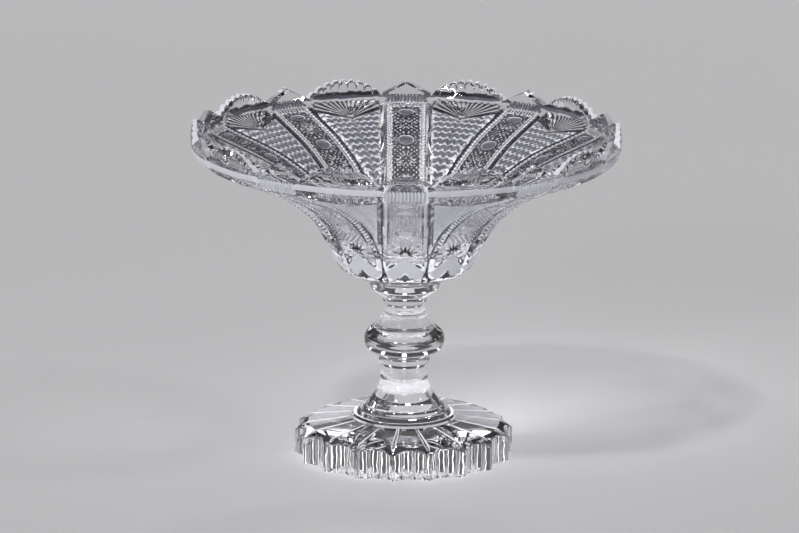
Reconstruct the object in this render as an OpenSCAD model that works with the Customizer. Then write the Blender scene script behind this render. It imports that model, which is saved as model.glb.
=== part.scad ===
// Footed cut-glass trifle bowl: a flared, deep-cut bowl on a knopped stem and a fluted foot.
// Units are millimetres, +Z is up and the foot's underside rests on Z = 0.

/* [Bowl] */
// Radius of the bowl at its widest, just under the rim
bowl_r = 147.5; // [140:0.5:156]
// Height of the bowl from its base pad to the crown of a scallop
bowl_h = 111; // [100:0.5:122]
// Thickness of the bowl's wall, square to its face
wall_t = 12; // [10:0.5:13]
// Number of cut strips round the bowl, each with a point on the rim over it
strip_count = 10; // [8:1:10]

/* [Rim] */
// Depth of the valleys between the scallops and the points
valley_drop = 11.6; // [9:0.1:13]
// How far a point's tip stays under a scallop's crown
point_drop = 2.4; // [1.5:0.1:4]
// Half the width of a point at its foot
point_half_w = 17.6; // [15:0.1:19]
// Number of beads along each scallop
bead_count = 9; // [7:1:11]
// Depth of the notch between two beads
bead_depth = 1.8; // [1:0.1:2.4]
// Thickness of the rim across its top
lip_t = 5.5; // [4:0.1:6.5]
// Fall of the rim's top face from its outer edge to its inner one
lip_fall = 1.7; // [0.5:0.1:2.5]
// Height of the steep inside face under the rim's crowns
lip_h = 11; // [9:0.1:13]
// How far that inside face leans outwards
lip_lean = 2.2; // [1:0.1:3]

/* [Cuts] */
// Half the distance between the two long cuts beside a strip
strip_half_w = 15.6; // [13:0.1:16.5]
// Width of a long cut
groove_w = 3; // [2:0.1:3.6]
// Depth of a long cut
groove_d = 2; // [1:0.1:3]
// Radius of the wheel that leaves a lens
lens_wheel_r = 10; // [8:0.5:14]
// Depth of a lens
lens_d = 1.6; // [1:0.1:2.4]
// Length of a fan's rays
fan_len = 22; // [18:0.5:26]
// From a fan's centre to the start of its rays
fan_gap = 3.3; // [2:0.1:5]
// Width across a fan's ray
fan_ray_w = 2.6; // [1.6:0.1:3.2]
// Number of rays in each fan
fan_rays = 9; // [5:2:11]
// Length of an arm of the crosses between the lenses
cross_len = 17; // [12:0.5:20]
// Width across an arm of a cross
cross_w = 2.4; // [1.4:0.1:3]

/* [Stem] */
// Radius of the stem's cup at its top, and of the bowl's pad on it
cup_r = 24.6; // [22:0.1:27]
// Radius of the throat under the cup
throat_r = 13.7; // [12:0.1:15]
// Radius of the knop
knop_r = 27.6; // [24:0.1:30]
// Radius of the neck under the knop, and of the foot's post
neck_r = 16.4; // [14.5:0.1:18]
// Height of the stem from the foot's post to the top of the cup
stem_h = 62; // [56:0.5:68]

/* [Foot] */
// Radius of the foot over the ridges between its flutes
foot_r = 75.2; // [70:0.1:82]
// Height of the foot from its underside to the top of its post
foot_h = 60.4; // [54:0.1:66]
// Height of the foot's fluted edge
edge_h = 18; // [14:0.1:19]
// Chamfer under the foot's edge
edge_chamfer = 1; // [0.5:0.1:2]
// Height of the foot's disc where the dome stands on it
disc_h = 26.6; // [25:0.1:30]
// Radius of the disc's shoulder over the flutes
shoulder_r = 66; // [60:0.1:67]
// How far the disc's top falls from the dome to the shoulder
shoulder_fall = 4; // [2:0.1:5]
// Number of flutes round the foot
flute_count = 18; // [16:1:22]
// Radius of the wheel that cuts a flute
flute_wheel_r = 21; // [19:0.5:30]
// Width of the ridge left between two flutes
ridge_w = 0.8; // [0.5:0.1:2]
// Width of a ray cut into the disc's top, one to each ridge
ray_w = 2.6; // [1.6:0.1:3.4]
// Gap between the dome and the inner end of a ray
ray_gap = 1; // [0.5:0.1:3]
// Radius of the dome's widest ring
dome_r = 35.8; // [32:0.1:38]

/* [Bonds] */
// Thickness of each bond layer
bond_t = 0.3; // [0.2:0.05:0.5]
// How far each bond layer stays inside the glass it joins
bond_inset = 0.6; // [0.3:0.1:1]

/* [Hidden] */
round_faces = 96;
// A strip lies at the front, at -Y
front = -90;
// The turn of the foot's ridges against the bowl's strips
foot_turn = -6;

// Heights at which the pieces meet
stem_z = foot_h + bond_t;
bowl_z = stem_z + stem_h + bond_t;

// How far every cutter reaches past what it cuts
overrun = wall_t / 4;

// The bowl's outer wall from beside the pad to the rim's band: shares of bowl_r and bowl_h
wall_shares = [
    [0.235, 0.042], [0.293, 0.076], [0.322, 0.119], [0.342, 0.17], [0.372, 0.257], [0.405, 0.33],
    [0.452, 0.415], [0.512, 0.488], [0.579, 0.555], [0.66, 0.618], [0.748, 0.673], [0.85, 0.723],
    [0.93, 0.767], [0.976, 0.803], [0.995, 0.838]
];
wall = [for (s = wall_shares) [s[0] * bowl_r, s[1] * bowl_h]];
wall_last = len(wall) - 1;

// The rim's upright band and its bevel: shares of bowl_r and bowl_h
band_shares = [[1, 0.87], [1, 0.93], [0.987, 1]];
band = [for (s = band_shares) [s[0] * bowl_r, s[1] * bowl_h]];

// The rim's top face falls from its outer edge to the inner one, over the steep inside face
lip_out = band[len(band) - 1];
lip_in = [lip_out[0] - lip_t, lip_out[1] - lip_fall];
lip_foot = [lip_in[0] - lip_lean, bowl_h - lip_h];
lip_slope = atan2(lip_fall, lip_t);

// Run of the wall at point i, and its unit normal towards the inside of the bowl
function along(i) = wall[min(i + 1, wall_last)] - wall[max(i - 1, 0)];
function inward(i) = [-along(i)[1], along(i)[0]] / norm(along(i));

// Slope of the wall at point i
function tilt(i) = atan2(along(i)[1], along(i)[0]);

// A spot on the wall: a wall point, and the share of the way back to the one before it
function on_wall(place) = wall[place[0]] + (wall[place[0] - 1] - wall[place[0]]) * place[1];

// The hollow follows the wall from its floor at the first of these points up to the second
floor_point = 3;
hollow_point = wall_last - 3;
hollow = [for (i = [hollow_point:-1:floor_point]) wall[i] + inward(i) * wall_t];

// A wedge of the bowl belongs to each strip
sector = 360 / strip_count;

// The rim's edge, seen from the side: scallops on radial cylinders, and pointed prisms between
valley_z = bowl_h - valley_drop;
scallop_half_w = bowl_r * sin(sector / 2) - point_half_w;
scallop_r = (scallop_half_w * scallop_half_w + valley_drop * valley_drop) / (2 * valley_drop);

// Spots on the wall for a strip's lenses and for the crosses between them
lens_shares = [[12, 0.5], [10, 0.67], [7, 0.62]];
cross_shares = [[11, 0.7], [8, 0.1], [6, 0.9]];
cross_turn = 32;

// A fan starts at this wall point and opens towards the rim
fan_point = 11;
fan_spread = 126;

module bowl_blank() {
    rotate_extrude($fn = round_faces)
        polygon(concat(
            [[0, 0], [cup_r, 0]], wall, band, [lip_in, lip_foot], hollow, [[0, hollow[len(hollow) - 1][1]]]
        ));
}

// All that the rim's shaped edge leaves standing: scallops and points over a disc up to the valleys
module rim_keeper() {
    inner_r = lip_foot[0] - wall_t;
    reach = bowl_r - inner_r + overrun;
    translate([0, 0, -overrun])
        cylinder(h = valley_z + overrun, r = bowl_r + overrun, $fn = round_faces);
    for (k = [0:strip_count - 1]) {
        rotate([0, 0, (k + 0.5) * sector])
            translate([inner_r, 0, bowl_h - scallop_r])
                rotate([0, 90, 0])
                    cylinder(h = reach, r = scallop_r, $fn = round_faces);
        rotate([0, 0, k * sector])
            translate([inner_r, 0, valley_z])
                rotate([90, 0, 90])
                    linear_extrude(reach)
                        polygon([[-point_half_w, 0], [0, valley_drop - point_drop], [point_half_w, 0]]);
    }
}

// Notches that part a scallop's beads: square bars laid on edge along the slope of the top face
module bead_notches() {
    bar_w = 2 * overrun;
    bead_step = (sector - 2 * asin(point_half_w / bowl_r)) / bead_count;
    for (k = [0:strip_count - 1], b = [1:bead_count - 1]) {
        turn = (b - bead_count / 2) * bead_step;
        side = lip_out[0] * sin(turn);
        edge_z = bowl_h - scallop_r + sqrt(scallop_r * scallop_r - side * side);
        rotate([0, 0, (k + 0.5) * sector + turn])
            translate([lip_out[0], 0, edge_z - bead_depth])
                rotate([45, -lip_slope, 0])
                    translate([-lip_t - bar_w, 0, 0])
                        cube([lip_t + 2 * bar_w, bar_w, bar_w]);
    }
}

// A wall point's place in the upright plane that lies strip_half_w beside the axis
function beside(p) = [sqrt(p[0] * p[0] - strip_half_w * strip_half_w), p[1]];

// One long cut: a channel that follows the wall at a steady depth
module long_cut() {
    first = 2;
    last = wall_last - 1;
    rotate([90, 0, 0])
        translate([0, 0, -groove_w / 2])
            linear_extrude(groove_w)
                polygon(concat(
                    [for (i = [first:last]) beside(wall[i]) - inward(i) * overrun],
                    [for (i = [last:-1:first]) beside(wall[i]) + inward(i) * groove_d]
                ));
}

// One lens, a wheel's edge sunk into the wall
module lens(place) {
    centre = on_wall(place) - inward(place[0]) * (lens_wheel_r - lens_d);
    translate([centre[0], 0, centre[1]])
        sphere(r = lens_wheel_r, $fn = round_faces);
}

// A square bar lying on its edge along the wall, half sunk in it, turned about the wall's normal
module wall_bar(spot, slope, turn, from, length, width) {
    translate([spot[0], 0, spot[1]])
        rotate([0, -slope, 0])
            rotate([0, 0, turn])
                rotate([45, 0, 0])
                    translate([from, -width / 2, -width / 2])
                        cube([length, width, width]);
}

// Flats ground round the foot of the wall, one under each strip and one between
module base_flats() {
    low = wall[1];
    high = wall[5];
    lean = atan2(high[0] - low[0], high[1] - low[1]);
    for (k = [0:2 * strip_count - 1])
        rotate([0, 0, k * sector / 2])
            translate([low[0] * cos(sector / 4), 0, low[1]])
                rotate([0, lean, 0])
                    translate([0, -low[0], -wall[0][1]])
                        cube([high[0], 2 * low[0], norm(high - low)]);
}

module bowl() {
    color([0.93, 0.94, 0.97, 0.6])
        translate([0, 0, bowl_z])
            rotate([0, 0, front])
                difference() {
                    intersection() {
                        bowl_blank();
                        rim_keeper();
                    }
                    bead_notches();
                    base_flats();
                    for (k = [0:strip_count - 1]) {
                        rotate([0, 0, k * sector])
                            strip_cuts();
                        rotate([0, 0, (k + 0.5) * sector])
                            fan_cuts();
                    }
                }
}

// The cuts of one strip: its two long cuts, its lenses and its crosses
module strip_cuts() {
    for (side = [-1, 1])
        translate([0, side * strip_half_w, 0])
            long_cut();
    for (place = lens_shares)
        lens(place);
    for (place = cross_shares, turn = [-cross_turn, cross_turn])
        wall_bar(on_wall(place), tilt(place[0]), turn, -cross_len / 2, cross_len, cross_w);
}

// The fan of rays on the panel between two strips
module fan_cuts() {
    step = fan_spread / (fan_rays - 1);
    for (j = [0:fan_rays - 1])
        wall_bar(wall[fan_point], tilt(fan_point), j * step - fan_spread / 2, fan_gap, fan_len, fan_ray_w);
}

module bowl_bond() {
    color([0.95, 0.97, 1, 0.4])
        translate([0, 0, bowl_z - bond_t])
            cylinder(h = bond_t, r = cup_r - bond_inset, $fn = round_faces);
}

// The stem's outline from the bottom up, each list in shares of its own radius and of stem_h
neck_shares = [[1, 0], [1, 0.05], [1.075, 0.085], [1.075, 0.13]];
knop_shares = [
    [0.665, 0.175], [0.84, 0.205], [0.94, 0.235], [0.985, 0.28], [1, 0.34], [0.985, 0.395],
    [0.925, 0.435], [0.78, 0.49], [0.675, 0.54], [0.58, 0.6]
];
throat_shares = [
    [1.12, 0.61], [1.12, 0.63], [1.07, 0.645], [1, 0.69], [1.02, 0.74], [1.11, 0.765], [1.11, 0.81]
];
cup_shares = [[0.72, 0.85], [0.88, 0.895], [0.97, 0.935], [1, 0.965], [1, 1]];

module stem() {
    color([0.93, 0.95, 0.98, 0.5])
        translate([0, 0, stem_z])
            rotate_extrude($fn = round_faces)
                polygon(concat(
                    [[0, 0]],
                    [for (s = neck_shares) [s[0] * neck_r, s[1] * stem_h]],
                    [for (s = knop_shares) [s[0] * knop_r, s[1] * stem_h]],
                    [for (s = throat_shares) [s[0] * throat_r, s[1] * stem_h]],
                    [for (s = cup_shares) [s[0] * cup_r, s[1] * stem_h]],
                    [[0, stem_h]]
                ));
}

module foot_bond() {
    color([0.95, 0.97, 1, 0.4])
        translate([0, 0, foot_h])
            cylinder(h = bond_t, r = neck_r - bond_inset, $fn = round_faces);
}

// The foot's dome and the post's foot: shares of dome_r, or of neck_r, and of the height over the disc
dome_shares = [
    [1, 0], [1, 0.05], [0.965, 0.09], [0.9, 0.09], [0.865, 0.17], [0.8, 0.18], [0.765, 0.26], [0.71, 0.28],
    [0.66, 0.38], [0.605, 0.45], [0.545, 0.55], [0.49, 0.67], [0.46, 0.8]
];
post_shares = [[1, 0.9], [1, 1]];

// One flute's wheel, so far out that two flutes leave a ridge between them
module flute_wheel() {
    half_turn = 180 / flute_count;
    half_w = foot_r * sin(half_turn) - ridge_w / 2;
    translate([foot_r * cos(half_turn) + sqrt(flute_wheel_r * flute_wheel_r - half_w * half_w), 0, -overrun])
        cylinder(h = disc_h + 2 * overrun, r = flute_wheel_r, $fn = round_faces);
}

// One ray cut along the disc's falling top
module ray_cut() {
    slope = atan2(shoulder_fall, shoulder_r - dome_r);
    translate([dome_r, 0, disc_h])
        rotate([45, slope, 0])
            translate([ray_gap, -ray_w / 2, -ray_w / 2])
                cube([foot_r - dome_r, ray_w, ray_w]);
}

module foot() {
    rise = foot_h - disc_h;
    flute_step = 360 / flute_count;
    color([0.93, 0.95, 0.98, 0.5])
        rotate([0, 0, foot_turn + front])
            difference() {
                rotate_extrude($fn = round_faces)
                    polygon(concat(
                        [[0, 0], [foot_r - edge_chamfer, 0], [foot_r, edge_chamfer], [foot_r, edge_h]],
                        [[shoulder_r, disc_h - shoulder_fall]],
                        [for (s = dome_shares) [s[0] * dome_r, disc_h + s[1] * rise]],
                        [for (s = post_shares) [s[0] * neck_r, disc_h + s[1] * rise]],
                        [[0, foot_h]]
                    ));
                for (k = [0:flute_count - 1]) {
                    rotate([0, 0, (k + 0.5) * flute_step])
                        flute_wheel();
                    rotate([0, 0, k * flute_step])
                        ray_cut();
                }
            }
}

bowl();
bowl_bond();
stem();
foot_bond();
foot();
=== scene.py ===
"""Looks of a footed cut-glass trifle bowl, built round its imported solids.

Outlines and cuts are worked out in millimetres and become metres when a mesh is made. The bowl and the
foot each repeat round their axis, so one half of a repeat is shaped, then mirrored and turned.
"""

import logging
import math
from dataclasses import dataclass, replace
from enum import Enum

import bmesh
import bpy
import numpy as np
from mathutils import Matrix, Vector
from mathutils.geometry import delaunay_2d_cdt


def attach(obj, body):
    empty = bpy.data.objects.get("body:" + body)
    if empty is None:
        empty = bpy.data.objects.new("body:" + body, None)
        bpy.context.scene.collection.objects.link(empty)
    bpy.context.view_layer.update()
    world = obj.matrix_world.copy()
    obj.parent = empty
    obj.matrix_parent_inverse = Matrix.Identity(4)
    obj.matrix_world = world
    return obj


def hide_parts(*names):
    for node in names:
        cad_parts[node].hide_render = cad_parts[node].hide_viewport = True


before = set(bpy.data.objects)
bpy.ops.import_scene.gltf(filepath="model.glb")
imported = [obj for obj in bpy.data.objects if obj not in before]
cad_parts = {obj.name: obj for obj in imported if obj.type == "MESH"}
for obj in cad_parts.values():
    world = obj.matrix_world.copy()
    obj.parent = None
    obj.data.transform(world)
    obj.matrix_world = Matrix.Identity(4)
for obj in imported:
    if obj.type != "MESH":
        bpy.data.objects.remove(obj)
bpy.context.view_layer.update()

MM = 0.001
LOG = logging.getLogger("trifle_bowl")


class Home(Enum):
    """The line that a cut's place is measured from, round the bowl."""

    STRIP = "strip"
    PANEL = "panel"


class Skin(Enum):
    """How a patch of glass is left by its last wheel; the value is its material's place on the mesh."""

    POLISHED = 0
    SATIN = 1
    DIAPER = 2
    BONDED = 3
    GROUND = 4
    FLUTED = 5


@dataclass(frozen=True)
class Outline:
    """A turned outline: points of (radius, height), smooth except at its corners.

    Attributes:
        points: (radius, height) of each point, in order.
        corners: the points at which the outline turns sharply.
    """

    points: tuple
    corners: tuple = ()

    def _knots(self) -> tuple:
        """Points as an array, their lengths along the outline, and the slopes in and out of each.

        Chord lengths give the length. A smooth point's slope is the mean of its two chords' directions,
        each weighted by the other chord's length. A corner keeps each chord's own direction.
        """
        p = np.array(self.points, float)
        step = np.diff(p, axis=0)
        size = np.hypot(step[:, 0], step[:, 1])
        way = step / size[:, None]
        s = np.concatenate([[0.0], np.cumsum(size)])
        mid = (way[:-1] * size[1:, None] + way[1:] * size[:-1, None]) / (size[1:] + size[:-1])[:, None]
        slope_in = np.vstack([way[:1], mid, way[-1:]])
        slope_out = slope_in.copy()
        for i in self.corners:
            slope_in[i] = way[i - 1]
            slope_out[i] = way[i]
        return p, s, slope_in, slope_out

    def length(self) -> float:
        """Length of the outline."""
        return float(self._knots()[1][-1])

    def station(self, index: int) -> float:
        """Length along the outline at one of its points."""
        return float(self._knots()[1][index])

    def at(self, s: np.ndarray) -> tuple:
        """Place and inward normal at lengths s: a cubic through each pair of points, with their slopes.

        Args:
            s: lengths along the outline.

        Returns:
            Arrays of radius, height, and the normal's radial and upward parts.
        """
        p, knots, slope_in, slope_out = self._knots()
        s = np.clip(np.asarray(s, float), 0.0, knots[-1])
        i = np.clip(np.searchsorted(knots, s, side="right") - 1, 0, len(knots) - 2)
        size = knots[i + 1] - knots[i]
        u = ((s - knots[i]) / size)[..., None]
        size = size[..., None]
        a, b = slope_out[i] * size, slope_in[i + 1] * size
        rise = p[i + 1] - p[i]
        place = p[i] + u * a + u**2 * (3 * rise - 2 * a - b) + u**3 * (a + b - 2 * rise)
        run = a + 2 * u * (3 * rise - 2 * a - b) + 3 * u**2 * (a + b - 2 * rise)
        run = run / np.maximum(np.linalg.norm(run, axis=-1, keepdims=True), 1e-9)
        return place[..., 0], place[..., 1], -run[..., 1], run[..., 0]

    def reaching(self, height: np.ndarray, low: float, high: float) -> np.ndarray:
        """Length along the outline at which it reaches a height, between two lengths where it only rises."""
        s = np.linspace(low, high, 400)
        return np.interp(height, self.at(s)[1], s)


class Cut:
    """What all cuts in the flattened wall share.

    A cut has a home line and a skin, a place (x, s) and a turn, and gives its depth (sink), the shade
    painted in it (tone), where it holds and its drawn lines. The painted shade stands for the dark that the
    cut's facets mirror. Painted shade up to 1 shows from within the glass alone, and what is well over 1
    from both sides.
    """

    home: Home = Home.STRIP
    skin: Skin = Skin.POLISHED
    dark_depth: float = 0.7

    def own(self, x: np.ndarray, s: np.ndarray) -> tuple:
        """Distances of points across and along the cut's direction, from its start or its middle."""
        a = math.radians(self.turn)
        dx, ds = x - self.x, s - self.s
        return dx * math.cos(a) - ds * math.sin(a), dx * math.sin(a) + ds * math.cos(a)

    def drawn(self, across: np.ndarray, along: np.ndarray) -> np.ndarray:
        """Points (x, s) at distances across and along the cut's direction."""
        a = math.radians(self.turn)
        x = self.x + along * math.sin(a) + across * math.cos(a)
        return np.stack([x, self.s + along * math.cos(a) - across * math.sin(a)], 1)

    def holds(self, x: np.ndarray, s: np.ndarray) -> np.ndarray:
        """True inside the cut."""
        return self.sink(x, s) > 0

    def tone(self, depth: np.ndarray, x: np.ndarray, s: np.ndarray) -> np.ndarray:
        """Painted shade at a depth: it rises to the shade at the dark depth."""
        return self.shade * np.clip(depth / self.dark_depth, 0, 1)


@dataclass(frozen=True)
class MitreCut(Cut):
    """A straight V cut that a wheel leaves.

    Attributes:
        x: distance of its start round from its home line.
        s: length of its start along the outline.
        turn: its direction in degrees, from up the wall towards rising x.
        length: its length.
        half_w: half its width where it is deepest.
        depth: its depth there.
        run_in: length over which it deepens at its start.
        run_out: length over which it runs out at its end.
        home: the line that x is measured from.
        pitch: distance between the points of its drawn lines.
        shade: how dark the shade painted in its bottom gets.
        skin: how its surface is left.
        line: how many times as dark the shade painted along its very valley is.
    """

    x: float
    s: float
    turn: float
    length: float
    half_w: float
    depth: float
    run_in: float
    run_out: float
    home: Home = Home.STRIP
    pitch: float = 2.5
    shade: float = 1.0
    skin: Skin = Skin.POLISHED
    line: float = 1.0

    def _share(self, t: np.ndarray) -> np.ndarray:
        """Share of the full depth at distance t along: 1 - (1 - q)^2 over each end's run."""
        first, last = (t >= -1e-6) * 1.0, (t <= self.length + 1e-6) * 1.0
        if self.run_in > 0:
            first = np.clip(t / self.run_in, 0, 1)
        if self.run_out > 0:
            last = np.clip((self.length - t) / self.run_out, 0, 1)
        return np.minimum(1 - (1 - first) ** 2, 1 - (1 - last) ** 2)

    def tone(self, depth: np.ndarray, x: np.ndarray, s: np.ndarray) -> np.ndarray:
        """Painted shade: by depth in a polished cut, even in one left from the stone, times line in the
        valley.
        """
        line_half_w = 0.3
        even = super().tone(depth, x, s) if self.skin is Skin.POLISHED else self.shade
        return even * np.where(np.abs(self.own(x, s)[0]) < line_half_w, self.line, 1.0)

    def sink(self, x: np.ndarray, s: np.ndarray) -> np.ndarray:
        """Depth at (x, s): the share of the full depth there, less the V's slope times the way across."""
        across, along = self.own(x, s)
        return self.depth * (self._share(along) - np.abs(across) / self.half_w)

    def lines(self) -> list:
        """The valley, the two edges and, in a broad cut, a line between them, as arrays of (x, s).

        The points of a short cut lie closer together at its ends, those of a long one evenly.
        """
        long_cut, broad_cut = 30, 2
        count = max(4, int(math.ceil(self.length / self.pitch)))
        t = self.length * (1 - np.cos(np.linspace(0, math.pi, count + 1))) / 2
        if self.length > long_cut:
            t = np.linspace(0, self.length, count + 1)
        wide = self.half_w * self._share(t)
        places = (-1.0, 0.0, 1.0) if self.half_w < broad_cut else (-1.0, -0.75, 0.0, 0.75, 1.0)
        return [self.drawn(place * wide, t) for place in places]


@dataclass(frozen=True)
class OvalHollow(Cut):
    """An oval hollow that a broad wheel leaves.

    Attributes:
        x: distance of its middle round from its home line.
        s: length of its middle along the outline.
        turn: direction of its b axis in degrees, from up the wall towards rising x.
        a: half its size across.
        b: half its size along the b axis.
        depth: its depth in the middle.
        skin: how its surface is left.
        shade: how dark the shade painted in it is.
    """

    x: float
    s: float
    turn: float
    a: float
    b: float
    depth: float
    skin: Skin = Skin.POLISHED
    shade: float = 0.0
    dark_depth = 0.12

    def _round(self, x: np.ndarray, s: np.ndarray) -> np.ndarray:
        """Distance from the middle, 1 on the outline of the oval."""
        across, along = self.own(x, s)
        return np.hypot(across / self.a, along / self.b)

    def sink(self, x: np.ndarray, s: np.ndarray) -> np.ndarray:
        """Depth at (x, s): a bowl that falls with the square of the distance from its outline."""
        return self.depth * (1 - self._round(x, s) ** 2)

    def holds(self, x: np.ndarray, s: np.ndarray) -> np.ndarray:
        """True inside the outline."""
        return self._round(x, s) < 0.999

    def lines(self) -> list:
        """The outline and two rings inside it."""
        u = np.linspace(0, 2 * math.pi, 29)
        return [self.drawn(size * self.a * np.sin(u), size * self.b * np.cos(u)) for size in (1.0, 0.9, 0.5)]


@dataclass(frozen=True)
class OvalRing(Cut):
    """A V cut that goes round an oval.

    Attributes:
        x: distance of its middle round from its home line.
        s: length of its middle along the outline.
        a: half the valley's size across.
        b: half the valley's size up the wall.
        half_w: half the cut's width.
        depth: its depth.
        shade: how dark the shade painted in its bottom gets.
    """

    x: float
    s: float
    a: float
    b: float
    half_w: float
    depth: float
    shade: float = 1.0
    turn = 0.0

    def sink(self, x: np.ndarray, s: np.ndarray) -> np.ndarray:
        """Depth at (x, s): the depth less the V's slope times the distance from the oval.

        The distance is (q - 1) over the slope of q, where q is 1 on the oval.
        """
        dx, ds = x - self.x, s - self.s
        q = np.maximum(np.hypot(dx / self.a, ds / self.b), 1e-6)
        slope = np.hypot(dx / self.a**2, ds / self.b**2) / q
        return self.depth * (1 - np.abs(q - 1) / np.maximum(slope, 1e-6) / self.half_w)

    def lines(self) -> list:
        """The valley and the two edges."""
        u = np.linspace(0, 2 * math.pi, 29)
        offs = (-self.half_w, 0.0, self.half_w)
        return [self.drawn((self.a + off) * np.sin(u), (self.b + off) * np.cos(u)) for off in offs]


@dataclass(frozen=True)
class FanRay(Cut):
    """One ray of a fan: a V cut that widens from the fan's centre and ends round.

    Attributes:
        s: length of the fan's centre along the outline.
        turn: its direction in degrees, from up the wall towards rising x.
        spread: angle between two rays in degrees.
        start: distance of its start from the centre.
        end: distance of its end.
        steep: depth for each millimetre across.
        home: the line that the centre lies on.
        shade: how dark the shade painted on the narrow ground between two rays is; a ray's polished bottom
            stays bright, unpainted.
        gap: depth of that ground.
    """

    s: float
    turn: float
    spread: float
    start: float
    end: float
    steep: float
    home: Home = Home.PANEL
    shade: float = 0.8
    gap: float = 0.12
    x = 0.0

    def _half_w(self, t: np.ndarray) -> np.ndarray:
        """Half the width at distance t: a share of the ray's own part, under a round end."""
        share, round_end, run_in = 0.8, 3.0, 1.5
        grown = share * t * math.tan(math.radians(self.spread / 2))
        end = np.sqrt(np.clip(1 - np.clip(1 - (self.end - t) / round_end, 0, 1) ** 2, 0, 1))
        start = np.clip((t - self.start) / run_in, 0, 1)
        return grown * end * start

    def sink(self, x: np.ndarray, s: np.ndarray) -> np.ndarray:
        """Depth at (x, s): the V's slope times how far the point is inside the ray's edge."""
        across, t = self.own(x, s)
        n = np.abs(across)
        inside = (t > self.start) & (t < self.end) & (n < 1.03 * t * math.tan(math.radians(self.spread / 2)))
        return np.where(inside, np.maximum(self.steep * (self._half_w(t) - n), self.gap), -1.0)

    def tone(self, depth: np.ndarray, x: np.ndarray, s: np.ndarray) -> np.ndarray:
        """Painted shade, from the shade in the gaps to 0 half a millimetre under them."""
        return self.shade * (1 - np.clip((depth - self.gap) / 0.5, 0, 1))

    def lines(self) -> list:
        """The valley and the two edges."""
        t = self.start + np.array([0, 0.07, 0.25, 0.5, 0.75, 0.88, 0.94, 0.98, 1.0]) * (self.end - self.start)
        return [self.drawn(place * self._half_w(t), t) for place in (0.0, 1.0, -1.0)]


def inside_polygon(polygon: np.ndarray, x: np.ndarray, s: np.ndarray) -> np.ndarray:
    """True for points inside a polygon, by the count of its sides to the right of each point.

    Args:
        polygon: corners as (x, s).
        x: distances round.
        s: lengths along.

    Returns:
        Array of bool.
    """
    inside = np.zeros(np.shape(x), bool)
    for (ax, ay), (bx, by) in zip(polygon, np.roll(polygon, -1, axis=0)):
        crosses = (ay > s) != (by > s)
        at = ax + (s - ay) * (bx - ax) / (by - ay if by != ay else 1e-12)
        inside ^= crosses & (x < at)
    return inside


def polygon_distance(polygon: np.ndarray, x: np.ndarray, s: np.ndarray) -> np.ndarray:
    """Distance of each point from the nearest side of a polygon."""
    best = np.full(np.shape(x), 1e9)
    for a, b in zip(polygon, np.roll(polygon, -1, axis=0)):
        d = b - a
        t = np.clip(((x - a[0]) * d[0] + (s - a[1]) * d[1]) / max(d @ d, 1e-12), 0, 1)
        best = np.minimum(best, np.hypot(x - a[0] - t * d[0], s - a[1] - t * d[1]))
    return best


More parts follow.
